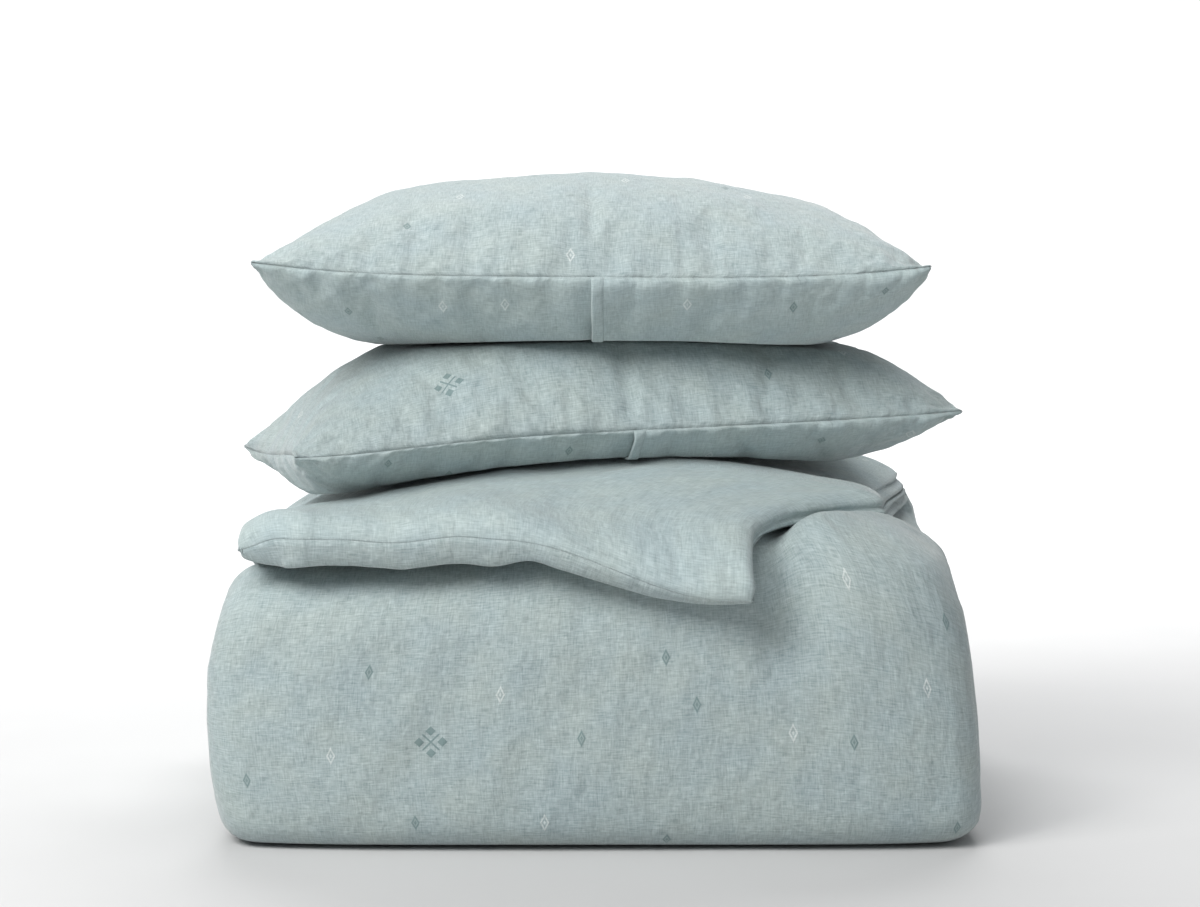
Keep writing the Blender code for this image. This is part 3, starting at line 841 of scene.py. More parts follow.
def press_hollow(grid):
    """Moves the front back: the hollow beside the free end's corner, and the left shoulder."""
    x, y, z = grid[..., 0], grid[..., 1], grid[..., 2]
    front = ease((-0.09 - y) / 0.08)
    hollow = 0.031 * bump_at(x, 0.170, 0.028) * ease((z - 0.14) / 0.10)
    hollow += 0.004 * bump_at(x, 0.02, 0.10) * bump_at(z, 0.235, 0.03)
    hollow += 0.005 * bump_at(x, -0.322, 0.011) * ease((z - 0.19) / 0.07)
    hollow -= 0.005 * bump_at(x, 0.262, 0.05) * bump_at(z, 0.235, 0.06)
    grid[..., 1] += hollow * front
    return grid


def cover_sheet(side):
    grid = layer_sheet(side, ALL_ROWS)
    flat = flat_cloth(grid)
    fade = ease(SIDE_HIGH * 1.6)[None, :] * np.ones(len(LINE))[:, None]
    ends = ease(np.minimum(ALL_ROWS, len(LINE) - 1 - ALL_ROWS) / 6.0)
    lying = ease((grid[..., 2] - 0.002) / 0.03) if side > 0 else 1.0
    grid = relieve(grid, flat, side, fade * (ends * ROW_STRENGTH)[:, None] * lying)
    if side > 0:
        grid = press_hollow(grid)
    grid[..., 2] = np.maximum(grid[..., 2], LOWEST)
    return grid, flat


FACE_GRID, FACE_FLAT = cover_sheet(1)
REVERSE_GRID, REVERSE_FLAT = cover_sheet(-1)
print("cover sheets", FACE_GRID.shape, REVERSE_GRID.shape)

# %% [markdown]
# ## The pieces of the folded duvet
# Two cover panels, face and reverse, follow the same folded line and meet at the side seams.
# Inside lies the filling in its ticking. It could be left out, because nothing shows of it, but
# a real duvet isn't hollow, so it is made from the cover's own sheets, moved 5 to 8 mm inward.

# %% Folded duvet pieces
CLOTH_THICK = 0.0009


def thicken(piece, thickness=CLOTH_THICK):
    """Gives a sheet its thickness, towards its inner side."""
    solid = piece.modifiers.new("thickness", "SOLIDIFY")
    solid.thickness = thickness
    solid.offset = -1.0


BODY_MOTIFS = [
    (-0.153, 0.102, CROSS), (-0.207, 0.166, DARK_DIAMOND), (-0.169, 0.026, DARK_DIAMOND),
    (0.061, 0.181, DARK_DIAMOND), (0.085, 0.137, DARK_DIAMOND), (0.227, 0.104, DARK_DIAMOND),
    (-0.015, 0.110, DARK_DIAMOND), (0.315, 0.209, DARK_DIAMOND), (0.059, 0.010, DARK_DIAMOND),
    (-0.322, 0.065, DARK_DIAMOND), (0.324, 0.024, DARK_DIAMOND), (-0.245, 0.088, PALE_DIAMOND),
    (-0.088, 0.147, PALE_DIAMOND), (0.172, 0.110, PALE_DIAMOND), (0.296, 0.150, PALE_DIAMOND),
    (-0.048, 0.033, PALE_DIAMOND), (0.223, 0.252, PALE_DIAMOND),
]


def placed_spots(grid, flat, places, seed):
    """Motifs at the named places on the front, and scattered ones everywhere else."""
    chosen = [spot_near(grid, flat, x, z, kind) for x, z, kind in places]
    front = grid[..., 1] < -0.10
    front_flat = flat[front]

    def keep(u, v):
        near = np.abs(front_flat - (u, v)).max(axis=1).min() if len(front_flat) else 1.0
        return near > 0.02

    return chosen + scattered_spots(flat, seed, keep)


def make_cover():
    face = cloth_piece(
        "duvet_cover_face", FACE_GRID, LINEN_FACE, flat=FACE_FLAT,
        spots=placed_spots(FACE_GRID, FACE_FLAT, BODY_MOTIFS, 41),
    )
    reverse = cloth_piece(
        "duvet_cover_reverse", REVERSE_GRID, LINEN_REVERSE, flip=True, flat=REVERSE_FLAT,
        spots=scattered_spots(REVERSE_FLAT, 42),
    )
    for piece in (face, reverse):
        thicken(piece)
    return face, reverse


COVER_FACE, COVER_REVERSE = make_cover()


def stuffed_piece(name, upper, lower, material):
    """A closed form between two grids that share their rim places."""
    rows, columns = upper.shape[:2]
    count = rows * columns
    faces = np.concatenate([grid_faces(rows, columns, False), grid_faces(rows, columns, True) + count])
    points = np.concatenate([upper.reshape(-1, 3), lower.reshape(-1, 3)])
    mesh = bpy.data.meshes.new(name)
    mesh.from_pydata(points.tolist(), [], faces.tolist())
    flat = np.concatenate([flat_cloth(upper).reshape(-1, 2), flat_cloth(lower).reshape(-1, 2)])
    layer = mesh.uv_layers.new(name="cloth")
    layer.data.foreach_set("uv", flat[faces].reshape(-1).astype(np.float32))
    form = bmesh.new()
    form.from_mesh(mesh)
    bmesh.ops.bridge_loops(form, edges=[edge for edge in form.edges if edge.is_boundary])
    bmesh.ops.recalc_face_normals(form, faces=form.faces)
    form.to_mesh(mesh)
    form.free()
    mesh.materials.append(material)
    mesh.shade_smooth()
    return link(name, mesh)


CHANNEL_PITCH = 0.24             # from one sewn channel of the filling to the next
FILLING_STEP = 2                 # the filling keeps every second point of the cover


def inner_sheet(grid, side, depth, border):
    """The filling's surface: a sheet moved inward, without its outermost cells."""
    first, last = border
    moved = grid - side * normals_of(grid) * depth[..., None]
    return moved[first[0]:last[0]:FILLING_STEP, first[1]:last[1]:FILLING_STEP]


def filling_sheet(grid, side):
    run = arc_lengths(LINE[:, :2])
    channel = bump_at((run / CHANNEL_PITCH) % 1.0, 0.5, 0.035)
    across = bump_at(np.linspace(0.0, 3.0, grid.shape[1]) % 1.0, 0.5, 0.03)
    dip = np.maximum(channel[:, None], across[None, :])
    return inner_sheet(grid, side, 0.005 + 0.003 * dip, ((9, 11), (-3, -10)))


DUVET_FILLING = stuffed_piece(
    "duvet_filling", filling_sheet(FACE_GRID, 1), filling_sheet(REVERSE_GRID, -1), TICKING
)
print("duvet pieces", COVER_FACE.name, COVER_REVERSE.name, DUVET_FILLING.name)

# %% [markdown]
# ## The free end
# The last layer is turned forward over the large fold, and its filled edge hangs down with a
# corner at the right. It could be one flat flap on a hinge, but real cloth runs on under the
# pillow without a break. So this piece starts from the last row of the folded sheets, where
# every point already fits, and runs forward along a curve that droops more towards the corner.

# %% Free end shape
FREE_ROWS = 64
FREE_UP = 0.0190                 # filled height above and below the free end's middle surface
FREE_DOWN = 0.0300
CORNER_X = 0.137
LEFT_TIP_X = -0.326
TIP_ROUND = 0.022
TURN_ROWS = 22                   # rows in the rounded front edge
UPPER_TURN = 0.78                # where the upper and the lower side begin to round over
LOWER_TURN = 0.84
FREE_CLEAR = 0.003               # above the fold it lies on
FREE_FILLING_DEPTH = 0.004


def seam_place(x):
    """How far forward and how high the free end's front seam runs."""
    y = FRONT_Y - 0.017 - 0.019 * ease((x + 0.25) / 0.38) + 0.024 * ease((-0.262 - x) / 0.07)
    z = 0.290 - 0.053 * ease((x + 0.085) / 0.20) - 0.013 * ease((-0.285 - x) / 0.045)
    z = z + 0.003 * bump_at(x, -0.125, 0.03) - 0.003 * bump_at(x, -0.185, 0.03)
    return y, z


def free_middle(shares):
    """The free end's middle surface: rows from the folded layer to the front seam."""
    last = np.array([len(LINE) - 1])
    upper, lower = layer_sheet(-1, last)[0], layer_sheet(1, last)[0]
    back = (upper + lower) / 2
    front_flat = (CORNER_X - LEFT_TIP_X) / 2 - TIP_ROUND
    front_x = (CORNER_X + LEFT_TIP_X) / 2 + front_flat * SIDE_SHARE + TIP_ROUND * SIDE_REACH
    seam_y, seam_z = seam_place(front_x)
    droop = 0.010 + 0.052 * ease((front_x + 0.05) / 0.17)
    t = shares[:, None]
    bend = [(1 - t) ** 3, 3 * t * (1 - t) ** 2, 3 * t * t * (1 - t), t ** 3]
    y = [back[:, 1], back[:, 1] - 0.065, seam_y + 0.045, seam_y]
    z = [back[:, 2], back[:, 2] + 0.002, seam_z + droop, seam_z]
    run = sum(b * p for b, p in zip(bend, y))
    height = sum(b * p for b, p in zip(bend, z))
    share = np.clip((FLARE_BACK - run) / (FLARE_BACK - FLARE_FRONT), 0.0, 1.0)
    drift = 1.0 - (1.0 - share) ** 2
    x = back[:, 0] + (front_x - back[:, 0]) * drift
    return np.stack([x, run, height], axis=-1), (upper - lower)[:, 2] / 2


def free_shares():
    """Row positions, closer together where the edge rounds over to its seam."""
    start = np.linspace(0.0, UPPER_TURN, FREE_ROWS - TURN_ROWS, endpoint=False)
    turn = np.sin(np.linspace(0.0, np.pi / 2, TURN_ROWS))
    return np.concatenate([start, UPPER_TURN + (1.0 - UPPER_TURN) * turn])


FREE_SHARES = free_shares()


def body_top(x, y):
    """Height of the large fold's upper side under the free end."""
    side = np.clip((FRONT_Y + LEVEL_2 - y) / LEVEL_2, 0.0, 1.0)
    rise = (1.0 - side ** FOLD_TOP_POWER) ** (1.0 / FOLD_TOP_POWER)
    z = LEVEL_2 + (LEVEL_3_TOP / 2) * rise
    return settle(x, y, z)[..., 2]


def free_sheet(side):
    """Upper (side -1, the cover's reverse) or lower (side 1) sheet of the free end."""
    middle, back_half = free_middle(FREE_SHARES)
    up = -side
    first, power = (UPPER_TURN, 2.0) if up > 0 else (LOWER_TURN, 2.9)
    turn = np.clip((FREE_SHARES - first) / (1.0 - first), 0.0, 1.0)
    close = np.maximum(0.0, 1.0 - turn ** power) ** (1.0 / power)
    x = middle[..., 0]
    if up > 0:
        front = FREE_UP * np.ones_like(x)
    else:
        front = FREE_DOWN - 0.008 * bump_at(x, -0.06, 0.03) - 0.014 * ease((x - 0.05) / 0.08)
        front = front - 0.016 * ease((-0.29 - x) / 0.04)
    blend = ease(FREE_SHARES / 0.75)[:, None]
    core = np.abs(back_half) / np.maximum(SIDE_HIGH, 0.05)
    half = (core * (1 - blend) + front * blend) * SIDE_HIGH * close[:, None]
    normal = normals_of(middle)
    normal = normal * np.sign(normal[..., 2:3]) * up
    straight_up = np.zeros_like(normal)
    straight_up[..., 2] = up
    lean = blend[..., None]
    direction = straight_up * (1 - lean) + normal * lean
    return middle + direction * half[..., None]


def free_relief(grid, flat, side):
    """Puckers along the seam and soft swells behind it."""
    u, v = flat[..., 0], flat[..., 1]
    to_seam = v.max() - v
    start = ease(FREE_SHARES / 0.12)[:, None]
    sides = ease(SIDE_HIGH * 1.8)[None, :]
    closing = ease((1.0 - FREE_SHARES) / 0.05)[:, None]
    swell = 0.0032 * ripple(u, v, 0.075, 51) + 0.0012 * ripple(u, v, 0.03, 52)
    pucker = 0.0022 * ripple(u + 0.5 * to_seam, 0.2 * v, 0.017, 53) * np.exp(-to_seam / 0.03)
    corner = bump_at(u, u.max() - 0.03, 0.05)
    pucker = pucker * (1.0 + 1.2 * corner)
    height = (swell + pucker) * start * sides * closing
    return grid + normals_of(grid) * (side * height)[..., None]


def settle_over(grid, side):
    """Keeps the lower sheet just above the large fold it lies on."""
    if side > 0:
        floor = body_top(grid[..., 0], grid[..., 1]) + FREE_CLEAR
        near = grid[..., 1] > FRONT_Y + 0.004
        grid[..., 2] = np.where(near, np.maximum(grid[..., 2], floor), grid[..., 2])
    return grid


FREE_MOTIFS = {
    -1: [(0.137, 0.239, DARK_DIAMOND)],
    1: [(-0.212, 0.277, PALE_DIAMOND), (-0.057, 0.258, PALE_DIAMOND)],
}


def make_free_end():
    pieces, inner = [], []
    # The upper sheet wears the reverse linen, whose paler tint is painted light on this upward-facing
    # top.
    for name, side, material in (
        ("free_end_upper", -1, LINEN_REVERSE), ("free_end_lower", 1, LINEN_FACE),
    ):
        grid = free_sheet(side)
        flat = flat_cloth(grid)
        grid = settle_over(free_relief(grid, flat, side), side)
        spots = placed_spots(grid, flat, FREE_MOTIFS[side], 60 + side)
        piece = cloth_piece(name, grid, material, flip=side < 0, flat=flat, spots=spots)
        thicken(piece)
        pieces.append(piece)
        depth = FREE_FILLING_DEPTH * np.ones(grid.shape[:2])
        inner.append(inner_sheet(grid, side, depth, ((2, 11), (-11, -10))))
    filling = stuffed_piece("free_end_filling", inner[0], inner[1], TICKING)
    return pieces + [filling]


FREE_UPPER, FREE_LOWER, FREE_FILLING = make_free_end()
print("free end pieces", FREE_UPPER.name, FREE_LOWER.name, FREE_FILLING.name)

# %% [markdown]
# ## The pillows
# A pillow in a sham is a bag of filling whose cloth is cut flat, so it is full in the middle
# and pinched into ears at the corners, with small puckers all along its seam. It could be
# carved by hand. Here a plain pillow shape gives the size, and a cloth simulation with air
# pressure inside lets a slightly larger cloth find its own wrinkles, with the seam held still.

# %% Pillow shapes
PILLOW_COLUMNS = 88
PILLOW_ROWS = 62
PINCH = 0.045
TOP_FULL = (0.50, 0.56)
UNDER_FULL = (0.38, 0.56)
CONTACT_MIDDLE = TOP_MIDDLE + 0.110
CONTACT_FALL = 0.20
LOWER_SEAM = TOP_MIDDLE + 0.029
LOWER_PILLOW = {
    "half": (0.318, 0.205), "up": 0.106, "down": 0.060, "centre": (-0.012, 0.018), "turn": 13.0,
    "seam": LOWER_SEAM, "tilt": 0.030, "corner_lift": 0.004, "sag": (0.036, 0.012), "seed": 70,
}
UPPER_PILLOW = {
    "half": (0.309, 0.222), "up": 0.080, "down": 0.082, "centre": (-0.008, 0.004), "turn": 0.0,
    "seam": CONTACT_MIDDLE + 0.063, "tilt": -0.006, "corner_lift": 0.012, "sag": (0.0, 0.0), "seed": 80,
}


def contact_height(x):
    return CONTACT_MIDDLE - CONTACT_FALL * x * x


def pillow_places():
    """Shares across and along, from -1 to 1, a little closer together near the seam."""
    s = np.linspace(-1.0, 1.0, PILLOW_COLUMNS + 1)
    t = np.linspace(-1.0, 1.0, PILLOW_ROWS + 1)
    bend = 0.42 * np.pi
    return np.sin(s * bend) / math.sin(bend), np.sin(t * bend) / math.sin(bend)


def plain_pillow(size, side):
    """The plain form of one face, in the pillow's own directions."""
    u, v = pillow_places()
    u, v = u[None, :], v[:, None]
    half_x, half_y = size["half"]
    x = half_x * u * (1.0 - PINCH * (1.0 - v * v))
    y = half_y * v * (1.0 - PINCH * (1.0 - u * u))
    full = TOP_FULL if side > 0 else UNDER_FULL
    profile = np.maximum(0.0, 1.0 - u * u) ** full[0] * np.maximum(0.0, 1.0 - v * v) ** full[1]
    corner = (u * v) ** 4
    back_left, front_left = size["sag"]
    left = ease(-0.05 - 1.05 * u)
    sag = back_left + (front_left - back_left) * ease(0.5 - 0.5 * v)
    seam = size["corner_lift"] * corner - sag * left * left
    rise = size["up"] if side > 0 else size["down"]
    return np.stack([x + 0 * v, y + 0 * u, seam + side * rise * profile], axis=-1)


PRESSURE = 4.0
CLOTH_SPARE = -0.018
SIMULATED_FRAMES = 20
MOVE_LIMIT = 0.014


def rim_mask(grid):
    rim = np.zeros(grid.shape[:2], bool)
    rim[0, :] = rim[-1, :] = rim[:, 0] = rim[:, -1] = True
    return rim


def inflate(top, bottom, name):
    """Runs the cloth simulation on the closed pillow and returns its two faces."""
    rows, columns = top.shape[:2]
    rim = rim_mask(top)
    top_index = np.arange(rows * columns).reshape(rows, columns)
    bottom_index = top_index.copy()
    bottom_index[~rim] = rows * columns + np.arange((~rim).sum())
    points = np.concatenate([top.reshape(-1, 3), bottom[~rim]])
    faces = np.concatenate([
        grid_faces(rows, columns, False),
        bottom_index.reshape(-1)[grid_faces(rows, columns, True)],
    ])
    mesh = bpy.data.meshes.new(name)
    mesh.from_pydata(points.tolist(), [], faces.tolist())
    bag = link(name, mesh)
    held = bag.vertex_groups.new(name="seam")
    held.add(top_index[rim].tolist(), 1.0, "REPLACE")
    cloth = bag.modifiers.new("air", "CLOTH")
    settings = cloth.settings
    settings.quality = 6
    settings.use_pressure = True
    settings.uniform_pressure_force = PRESSURE
    settings.shrink_min = CLOTH_SPARE
    settings.vertex_group_mass = "seam"
    settings.bending_stiffness = 0.4
    settings.effector_weights.gravity = 0.0
    cloth.collision_settings.use_collision = False
    cloth.point_cache.frame_end = SIMULATED_FRAMES
    scene = bpy.context.scene
    for frame_number in range(1, SIMULATED_FRAMES + 1):
        scene.frame_set(frame_number)
    shaped = bag.evaluated_get(bpy.context.evaluated_depsgraph_get())
    moved = np.empty(len(points) * 3)
    shaped.data.vertices.foreach_get("co", moved)
    moved = moved.reshape(-1, 3)
    scene.frame_set(1)
    bpy.data.objects.remove(bag, do_unlink=True)
    step = moved - points
    length = np.linalg.norm(step, axis=1, keepdims=True)
    step = step / np.maximum(length, 1e-9) * (MOVE_LIMIT * np.tanh(length / MOVE_LIMIT))
    moved = points + step
    print(name, "moved at most", round(float(np.linalg.norm(step, axis=1).max()), 4), "m")
    return moved[top_index], moved[bottom_index]


def refine(grid):
    """Doubles a grid's points with a smooth curve through them."""
    for axis in (0, 1):
        lines = np.moveaxis(grid, axis, 0)
        before = np.concatenate([2 * lines[:1] - lines[1:2], lines[:-1]])[:-1]
        after = np.concatenate([lines[1:], 2 * lines[-1:] - lines[-2:-1]])[1:]
        middle = (9 * (lines[:-1] + lines[1:]) - before - after) / 16
        finer = np.empty((2 * len(lines) - 1,) + lines.shape[1:])
        finer[0::2] = lines
        finer[1::2] = middle
        grid = np.moveaxis(finer, 0, axis)
    return grid


def seam_distance(grid):
    """How far each point is from the pillow's seam, along the cloth."""
    across = np.linalg.norm(np.diff(grid, axis=1), axis=2)
    along = np.linalg.norm(np.diff(grid, axis=0), axis=2)
    zero_column, zero_row = np.zeros((grid.shape[0], 1)), np.zeros((1, grid.shape[1]))
    left = np.concatenate([zero_column, np.cumsum(across, axis=1)], axis=1)
    near = np.concatenate([zero_row, np.cumsum(along, axis=0)], axis=0)
    right = left[:, -1:] - left
    far = near[-1:] - near
    return np.minimum(left, right), np.minimum(near, far)


def pucker(grid, side, seed):
    """Small folds that run from the seam into the cloth, and soft swells between."""
    to_sides, to_ends = seam_distance(grid)
    edge = np.minimum(to_sides, to_ends)
    flat = flat_cloth(grid)
    u, v = flat[..., 0], flat[..., 1]
    held = ease(edge / 0.012)
    folds = ripple(u, 0.18 * v, 0.016, seed) * np.exp(-to_ends / 0.028) * ease(to_sides / 0.02)
    side_folds = ripple(0.18 * u, v, 0.016, seed + 1) * np.exp(-to_sides / 0.028)
    folds = folds + side_folds * ease(to_ends / 0.02)
    corner = np.exp(-np.hypot(to_sides, to_ends) / 0.055)
    rays = ripple(np.arctan2(to_ends, to_sides), 0 * u, 0.17, seed + 2) * corner
    swell = 0.0022 * ripple(u, v, 0.085, seed + 3) + 0.0011 * ripple(u, v, 0.032, seed + 4)
    slant = 0.0014 * creases(u, v, 78.0, 0.12, 0.024, seed + 5)
    height = 0.0022 * folds + 0.0026 * rays + (swell + slant + 0.0004 * ripple(u, v, 0.012, seed + 6))
    return grid + normals_of(grid) * (side * held * height)[..., None], flat


def turned(grid, size):
    """From the pillow's own directions to its place in the stack."""
    swing = math.radians(size["turn"])
    x = size["centre"][0] + grid[..., 0] * math.cos(swing) - grid[..., 1] * math.sin(swing)
    y = size["centre"][1] + grid[..., 0] * math.sin(swing) + grid[..., 1] * math.cos(swing)
    return np.stack([x, y, grid[..., 2] + size["seam"] + size["tilt"] * x], axis=-1)


def soft_floor(z, floor, softness=0.006):
    """Lifts heights to a floor, rounding the change a little."""
    gap = z - floor
    return floor + np.where(gap > 0, gap, 0) + softness * 0.25 * np.exp(-np.abs(gap) / softness)


# %% Pillow pieces
HEM_X = -0.002
UNDER_REACH = 0.070
STITCH_FROM_HEM = 0.012
FILLING_SCALE = np.array((0.93, 0.90, 1.0))      # the filling against its sham, from the middle
FILLING_RISE = 0.9
FILLING_CLEAR = 0.0015
CONTACT_CLEAR = 0.0008
SEAM_DRAW = 0.0035 * 0.7         # how far the stitching draws the edge in


def pillow_faces(size, name):
    top, bottom = plain_pillow(size, 1), plain_pillow(size, -1)
    top, bottom = inflate(top, bottom, name)
    faces = []
    for side, grid in ((1, top), (-1, bottom)):
        grid = refine(grid)
        edge = rim_mask(grid)
        grid[edge, :2] -= SEAM_DRAW * np.sign(grid[edge, :2])
        grid, flat = pucker(grid, side, size["seed"] + (0 if side > 0 else 7))
        faces.append((grid, flat))
    return faces


def hem_column(grid, x):
    middle = grid[grid.shape[0] // 2, :, 0]
    return int(np.argmin(np.abs(middle - x)))


def lap_panels(grid):
    """Splits the back at its closure: the over panel, and the panel under it."""
    hem, under_end = hem_column(grid, HEM_X), hem_column(grid, HEM_X + UNDER_REACH)
    out = -normals_of(grid)
    from_hem = grid[..., 0] - grid[:, hem:hem + 1, 0]
    lift = 0.0026 * np.exp(-np.maximum(from_hem, 0) / 0.03) + 0.0012
    lift = lift - 0.0012 * bump_at(from_hem, STITCH_FROM_HEM, 0.0022)
    sunk = -0.0022 * ease((from_hem + 0.020) / 0.018) - 0.0006
    to_sides, to_ends = seam_distance(grid)
    held = ease(to_ends / 0.008) * ease(to_sides / 0.008)
    over = grid + out * (lift * held)[..., None]
    under = grid + out * (sunk * held)[..., None]
    return over[:, hem:], under[:, :under_end + 1], hem, under_end


HEM_STEPS = 7
HEM_PROUD = np.array((0.0007, 0.0013, 0.0013, 0.0012, 0.0013, 0.0012, -0.0006))


def hem_band(over, flat):
    """The folded hem of the over panel: a narrow band that stands a little proud of it."""
    reach = np.linalg.norm(np.diff(over, axis=1), axis=2)
    run = np.concatenate([np.zeros((len(over), 1)), np.cumsum(reach, axis=1)], axis=1)
    steps = np.linspace(-0.0005, STITCH_FROM_HEM, HEM_STEPS)
    band = np.empty((len(over), HEM_STEPS, 3))
    for row in range(len(over)):
        for axis in range(3):
            band[row, :, axis] = np.interp(steps, run[row], over[row, :, axis])
    out = -normals_of(over)[:, 2:3]
    held = ease(np.minimum(np.arange(len(over)), np.arange(len(over))[::-1]) / 5.0)
    band = band + out * (HEM_PROUD[None, :] * (0.25 + 0.75 * held[:, None]))[..., None]
    place = np.empty((len(over), HEM_STEPS, 2))
    place[..., 0] = flat[:, :1, 0] + steps[None, :]
    place[..., 1] = flat[:, :1, 1]
    return band, place


def press(grid, floor, ceiling):
    x = grid[..., 0]
    if floor is not None:
        grid[..., 2] = soft_floor(grid[..., 2], floor(x) + CONTACT_CLEAR)
    if ceiling is not None:
        grid[..., 2] = -soft_floor(-grid[..., 2], -(ceiling(x) - CONTACT_CLEAR))
    return grid


def make_pillow(name, size, floor, ceiling, motifs):
    (top, top_flat), (bottom, bottom_flat) = pillow_faces(size, name + "_bag")
    over, under, hem, under_end = lap_panels(bottom)
    from_front = top[..., 1] - top[..., 1].min()
    crease = bump_at(top[..., 0], HEM_X + 0.004, 0.007) * np.exp(-from_front / 0.07)
    top = top - normals_of(top) * (0.0035 * crease * ease(from_front / 0.02))[..., None]
    seed = size["seed"]
    top = press(turned(top, size), None, ceiling)
    over, under = (press(turned(grid, size), floor, None) for grid in (over, under))
    over_flat, under_flat = bottom_flat[:, hem:], bottom_flat[:, :under_end + 1]
    front = cloth_piece(name + "_sham_face", top, LINEN_FACE, flat=top_flat,
                        spots=placed_spots(top, top_flat, motifs, seed))
    flap = cloth_piece(name + "_sham_over", over, LINEN_REVERSE, flip=True, flat=over_flat,
                       spots=scattered_spots(over_flat, seed + 1))
    inner = cloth_piece(name + "_sham_under", under, LINEN_REVERSE, flip=True, flat=under_flat,
                        spots=scattered_spots(under_flat, seed + 2))
    band, band_flat = hem_band(over, over_flat)
    hem_piece = cloth_piece(name + "_sham_hem", band, LINEN_REVERSE, flip=True, flat=band_flat)
    for piece in (front, flap, inner, hem_piece):
        thicken(piece)
    whole = press(turned(bottom, size), floor, None)
    middle = (top + whole) / 2
    centre = middle.reshape(-1, 3).mean(axis=0)
    stuffing = []
    for sheet, inward in ((top, -FILLING_CLEAR), (whole, FILLING_CLEAR)):
        smaller = centre + (sheet - centre) * FILLING_SCALE
        smaller[..., 2] = middle[..., 2] + (sheet - middle)[..., 2] * FILLING_RISE + inward
        stuffing.append(smaller[::3, ::3])
    filling = stuffed_piece(name + "_filling", stuffing[0], stuffing[1], TICKING)
    ends = top.reshape(-1, 3)
    print(name, "from", np.round(ends.min(axis=0), 3), "to", np.round(ends.max(axis=0), 3))
    return front, flap, inner, filling, hem_piece


LOWER_PIECES = make_pillow(
    "lower_pillow", LOWER_PILLOW, top_height, contact_height,
    [(-0.141, 0.422, CROSS), (0.159, 0.427, DARK_DIAMOND)],
)
UPPER_PIECES = make_pillow(
    "upper_pillow", UPPER_PILLOW, contact_height, None,
    [(-0.176, 0.566, DARK_DIAMOND), (-0.026, 0.540, PALE_DIAMOND),
     (0.141, 0.592, PALE_DIAMOND), (-0.129, 0.592, PALE_DIAMOND)],
)

# %% [markdown]
# ## Buttons and corner ties
# The cover closes with flat shell buttons, turned with a dish and four holes, and cotton tapes
# hold the filling in the cover's corners. They lie inside the large fold. A plain disc would
# pass at a distance, but the closure can be opened, so each button has its rim and its holes.

# %% Shell and tape finishes
def shell_material():
    made = bpy.data.materials.new("button_shell")
    made.use_nodes = True
    tree = made.node_tree
    shader = tree.nodes["Principled BSDF"]
    shader.inputs["Coat Roughness"].default_value = 0.2
    shader.inputs["Specular IOR Level"].default_value = 0.6
    place = tree.nodes.new("ShaderNodeTexCoord").outputs["Object"]
    bands = noise(tree, stretched(tree, place, (1.0, 1.0, 3.0)), 240.0, 3.0, 0.6)
    share = mapped(tree, bands, 0.35, 0.65, 0.0, 1.0)
    colour = mix_colour(tree, share, (0.70, 0.69, 0.62, 1.0), (0.84, 0.83, 0.79, 1.0))
    wire(tree, colour, shader.inputs["Base Color"])
    wire(tree, mapped(tree, bands, 0.3, 0.7, 0.26, 0.42), shader.inputs["Roughness"])
    wire(tree, bump(tree, bands, 0.0001), shader.inputs["Normal"])
    return made


SHELL = shell_material()
BUTTON_PROFILE = (
    (0.0, 0.0016), (0.0034, 0.0016), (0.0042, 0.0022), (0.0052, 0.0025), (0.0059, 0.0021),
    (0.0060, 0.0014), (0.0056, 0.0004), (0.0040, 0.0), (0.0, 0.0),
)
BUTTON_SIDES = 40
HOLE_FROM_MIDDLE = 0.0014
HOLE_RADIUS = 0.0006


def button_form(name):
    """A turned button with four holes, its underside at height 0."""
    form = bmesh.new()
    rings = []
    for radius, height in BUTTON_PROFILE[1:-1]:
        rings.append([form.verts.new((radius * math.cos(a), radius * math.sin(a), height))
                      for a in np.linspace(0.0, 2 * math.pi, BUTTON_SIDES, endpoint=False)])
    for inner, outer in zip(rings, rings[1:]):
        for i in range(BUTTON_SIDES):
            j = (i + 1) % BUTTON_SIDES
            form.faces.new((inner[i], outer[i], outer[j], inner[j]))
    form.faces.new(rings[0])
    form.faces.new(rings[-1][::-1])
    bmesh.ops.recalc_face_normals(form, faces=form.faces)
    mesh = bpy.data.meshes.new(name)
    form.to_mesh(mesh)
    form.free()
    mesh.materials.append(SHELL)
    return link(name, mesh)


def drill(button):
    """Cuts the four holes and keeps the result in the mesh."""
    cutters = bmesh.new()
    for i in range(4):
        angle = math.pi / 4 + i * math.pi / 2
        made = bmesh.ops.create_cone(cutters, cap_ends=True, segments=14, radius1=HOLE_RADIUS,
                                     radius2=HOLE_RADIUS, depth=0.01)
        shift = Vector((math.cos(angle), math.sin(angle), 0.0)) * HOLE_FROM_MIDDLE
        bmesh.ops.translate(cutters, vec=shift, verts=made["verts"])
    mesh = bpy.data.meshes.new("drill")
    cutters.to_mesh(mesh)
    cutters.free()
    tool = link("drill", mesh)
    cut = button.modifiers.new("holes", "BOOLEAN")
    cut.operation = "DIFFERENCE"
    cut.object = tool
    cut.solver = "EXACT"
    done = bpy.data.meshes.new_from_object(button.evaluated_get(bpy.context.evaluated_depsgraph_get()))
    button.modifiers.clear()
    button.data = done
    bpy.data.objects.remove(tool, do_unlink=True)
    return done


# %% Buttons and ties
BUTTON_NODES = ["closure_button_%d" % (i + 1) for i in range(7)]
TIE_NODES = ("corner_tie_left", "corner_tie_right")
BUTTON_HALF = 0.00125
HEM_SLOPE_SHARE = 0.4            # the inner hem follows this much of the top's fall to the sides
TAPE_WIDTH = 0.008
TAPE_THICK = 0.0007


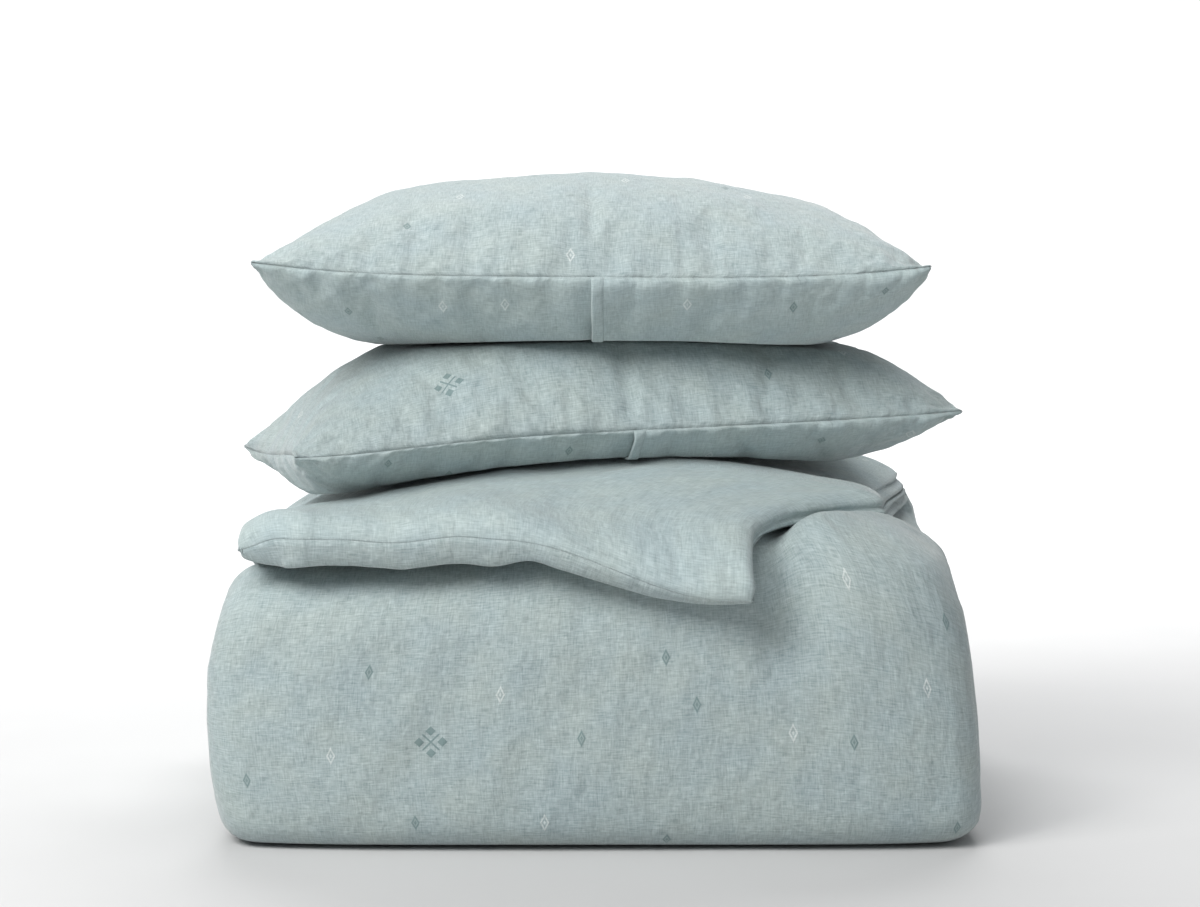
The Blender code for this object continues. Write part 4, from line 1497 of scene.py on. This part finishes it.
def make_buttons():
    first = button_form("button_1")
    turned_mesh = drill(first)
    bpy.data.objects.remove(first, do_unlink=True)
    pieces = []
    for i, node in enumerate(BUTTON_NODES):
        low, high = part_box(node)
        middle = (Vector(low) + Vector(high)) / 2
        slope = -2.0 * TOP_FALL * (middle.x - TOP_MIDDLE_X) * HEM_SLOPE_SHARE
        normal = Vector((-slope, 0.0, 1.0)).normalized()
        piece = link("button_%d" % (i + 1), turned_mesh.copy())
        piece.location = middle - normal * BUTTON_HALF
        piece.rotation_euler = Vector((0.0, 0.0, 1.0)).rotation_difference(normal).to_euler()
        pieces.append(piece)
    return pieces


def make_tie(node):
    """A twill tape from the hem back to the filling."""
    low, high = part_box(node)
    length = high[1] - low[1]
    s = np.linspace(-0.5, 0.5, 9)[None, :]
    t = np.linspace(0.0, 1.0, 25)[:, None]
    x = (low[0] + high[0]) / 2 + TAPE_WIDTH * s + 0 * t
    y = low[1] + length * t + 0 * s
    wave = 0.0003 * np.sin(t * 9.0) + 0.0002 * np.cos(s * 6.0)
    z = (low[2] + high[2]) / 2 + wave
    tape = cloth_piece(node.replace("corner_tie", "tape"), np.stack([x, y, z], axis=-1), TICKING)
    thicken(tape, TAPE_THICK)
    return tape


BUTTONS = make_buttons()
TIES = [make_tie(node) for node in TIE_NODES]
print(len(BUTTONS), "buttons and", len(TIES), "ties")

# %% [markdown]
# ## The floor
# A paper roll that curves up behind the stack gives a plain pale ground without a horizon. A
# flat plane would end in a visible line at this low camera height.

# %% Studio floor
def paper_material():
    made = bpy.data.materials.new("studio_paper")
    made.use_nodes = True
    tree = made.node_tree
    shader = tree.nodes["Principled BSDF"]
    shader.inputs["Roughness"].default_value = 0.9
    place = tree.nodes.new("ShaderNodeTexCoord").outputs["Object"]
    grain = noise(tree, place, 3.0, 2.0)
    share = mapped(tree, grain, 0.3, 0.7, 0.0, 1.0)
    wire(tree, mix_colour(tree, share, (0.60, 0.60, 0.60, 1.0), (0.62, 0.62, 0.62, 1.0)),
         shader.inputs["Base Color"])
    return made


PAPER_FRONT, PAPER_BACK, PAPER_SIDE = -7.0, 5.0, 9.0
PAPER_BEND = 2.0
PAPER_WALL = 4.0


def make_floor():
    """A flat run, a quarter turn upward, and a wall."""
    profile = [(PAPER_FRONT, 0.0), (PAPER_BACK, 0.0)]
    for angle in np.linspace(0.0, math.pi / 2, 25)[1:]:
        up = PAPER_BEND * (1.0 - math.cos(angle))
        profile.append((PAPER_BACK + PAPER_BEND * math.sin(angle), up))
    profile.append((PAPER_BACK + PAPER_BEND, PAPER_BEND + PAPER_WALL))
    grid = np.array([[(x, y, z) for x in (-PAPER_SIDE, 0.0, PAPER_SIDE)] for y, z in profile])
    floor = cloth_piece("studio_paper", grid, paper_material())


make_floor()

# %% [markdown]
# ## Joining the pieces to the frame
# Every piece but the free end rides on a body of the frame's model, and the solids it stands for are
# hidden. The free end runs on from the folded duvet, but here it rides on no body, so it keeps its
# place.


def join(piece, body, slot, *nodes):
    if body:
        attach(piece, body)
    if nodes:
        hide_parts(*nodes)


join(COVER_FACE, "folded_duvet", "linen_face", "cover_face_panel")
join(COVER_REVERSE, "folded_duvet", "linen_reverse", "cover_reverse_panel")
join(DUVET_FILLING, "folded_duvet", "insert_cloth", "duvet_insert")
for piece, node in zip(BUTTONS, BUTTON_NODES):
    join(piece, "folded_duvet", "button_shell", node)
for piece, node in zip(TIES, TIE_NODES):
    join(piece, "folded_duvet", "insert_cloth", node)

join(FREE_UPPER, None, "linen_reverse", "free_end_upper_panel")
join(FREE_LOWER, None, "linen_face", "free_end_lower_panel")
join(FREE_FILLING, None, "insert_cloth", "free_end_insert")
for piece in (FREE_UPPER, FREE_LOWER, FREE_FILLING):
    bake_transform(piece)

PILLOW_SLOTS = ("linen_face", "linen_reverse", "linen_reverse", "insert_cloth", "linen_reverse")
PILLOW_NODES = ("sham_front", "sham_back_over", "sham_back_under", "insert", "sham_back_over")
for name, pieces in (("lower_pillow", LOWER_PIECES), ("upper_pillow", UPPER_PIECES)):
    for piece, slot, node in zip(pieces, PILLOW_SLOTS, PILLOW_NODES):
        join(piece, name, slot, "%s_%s" % (name, node))
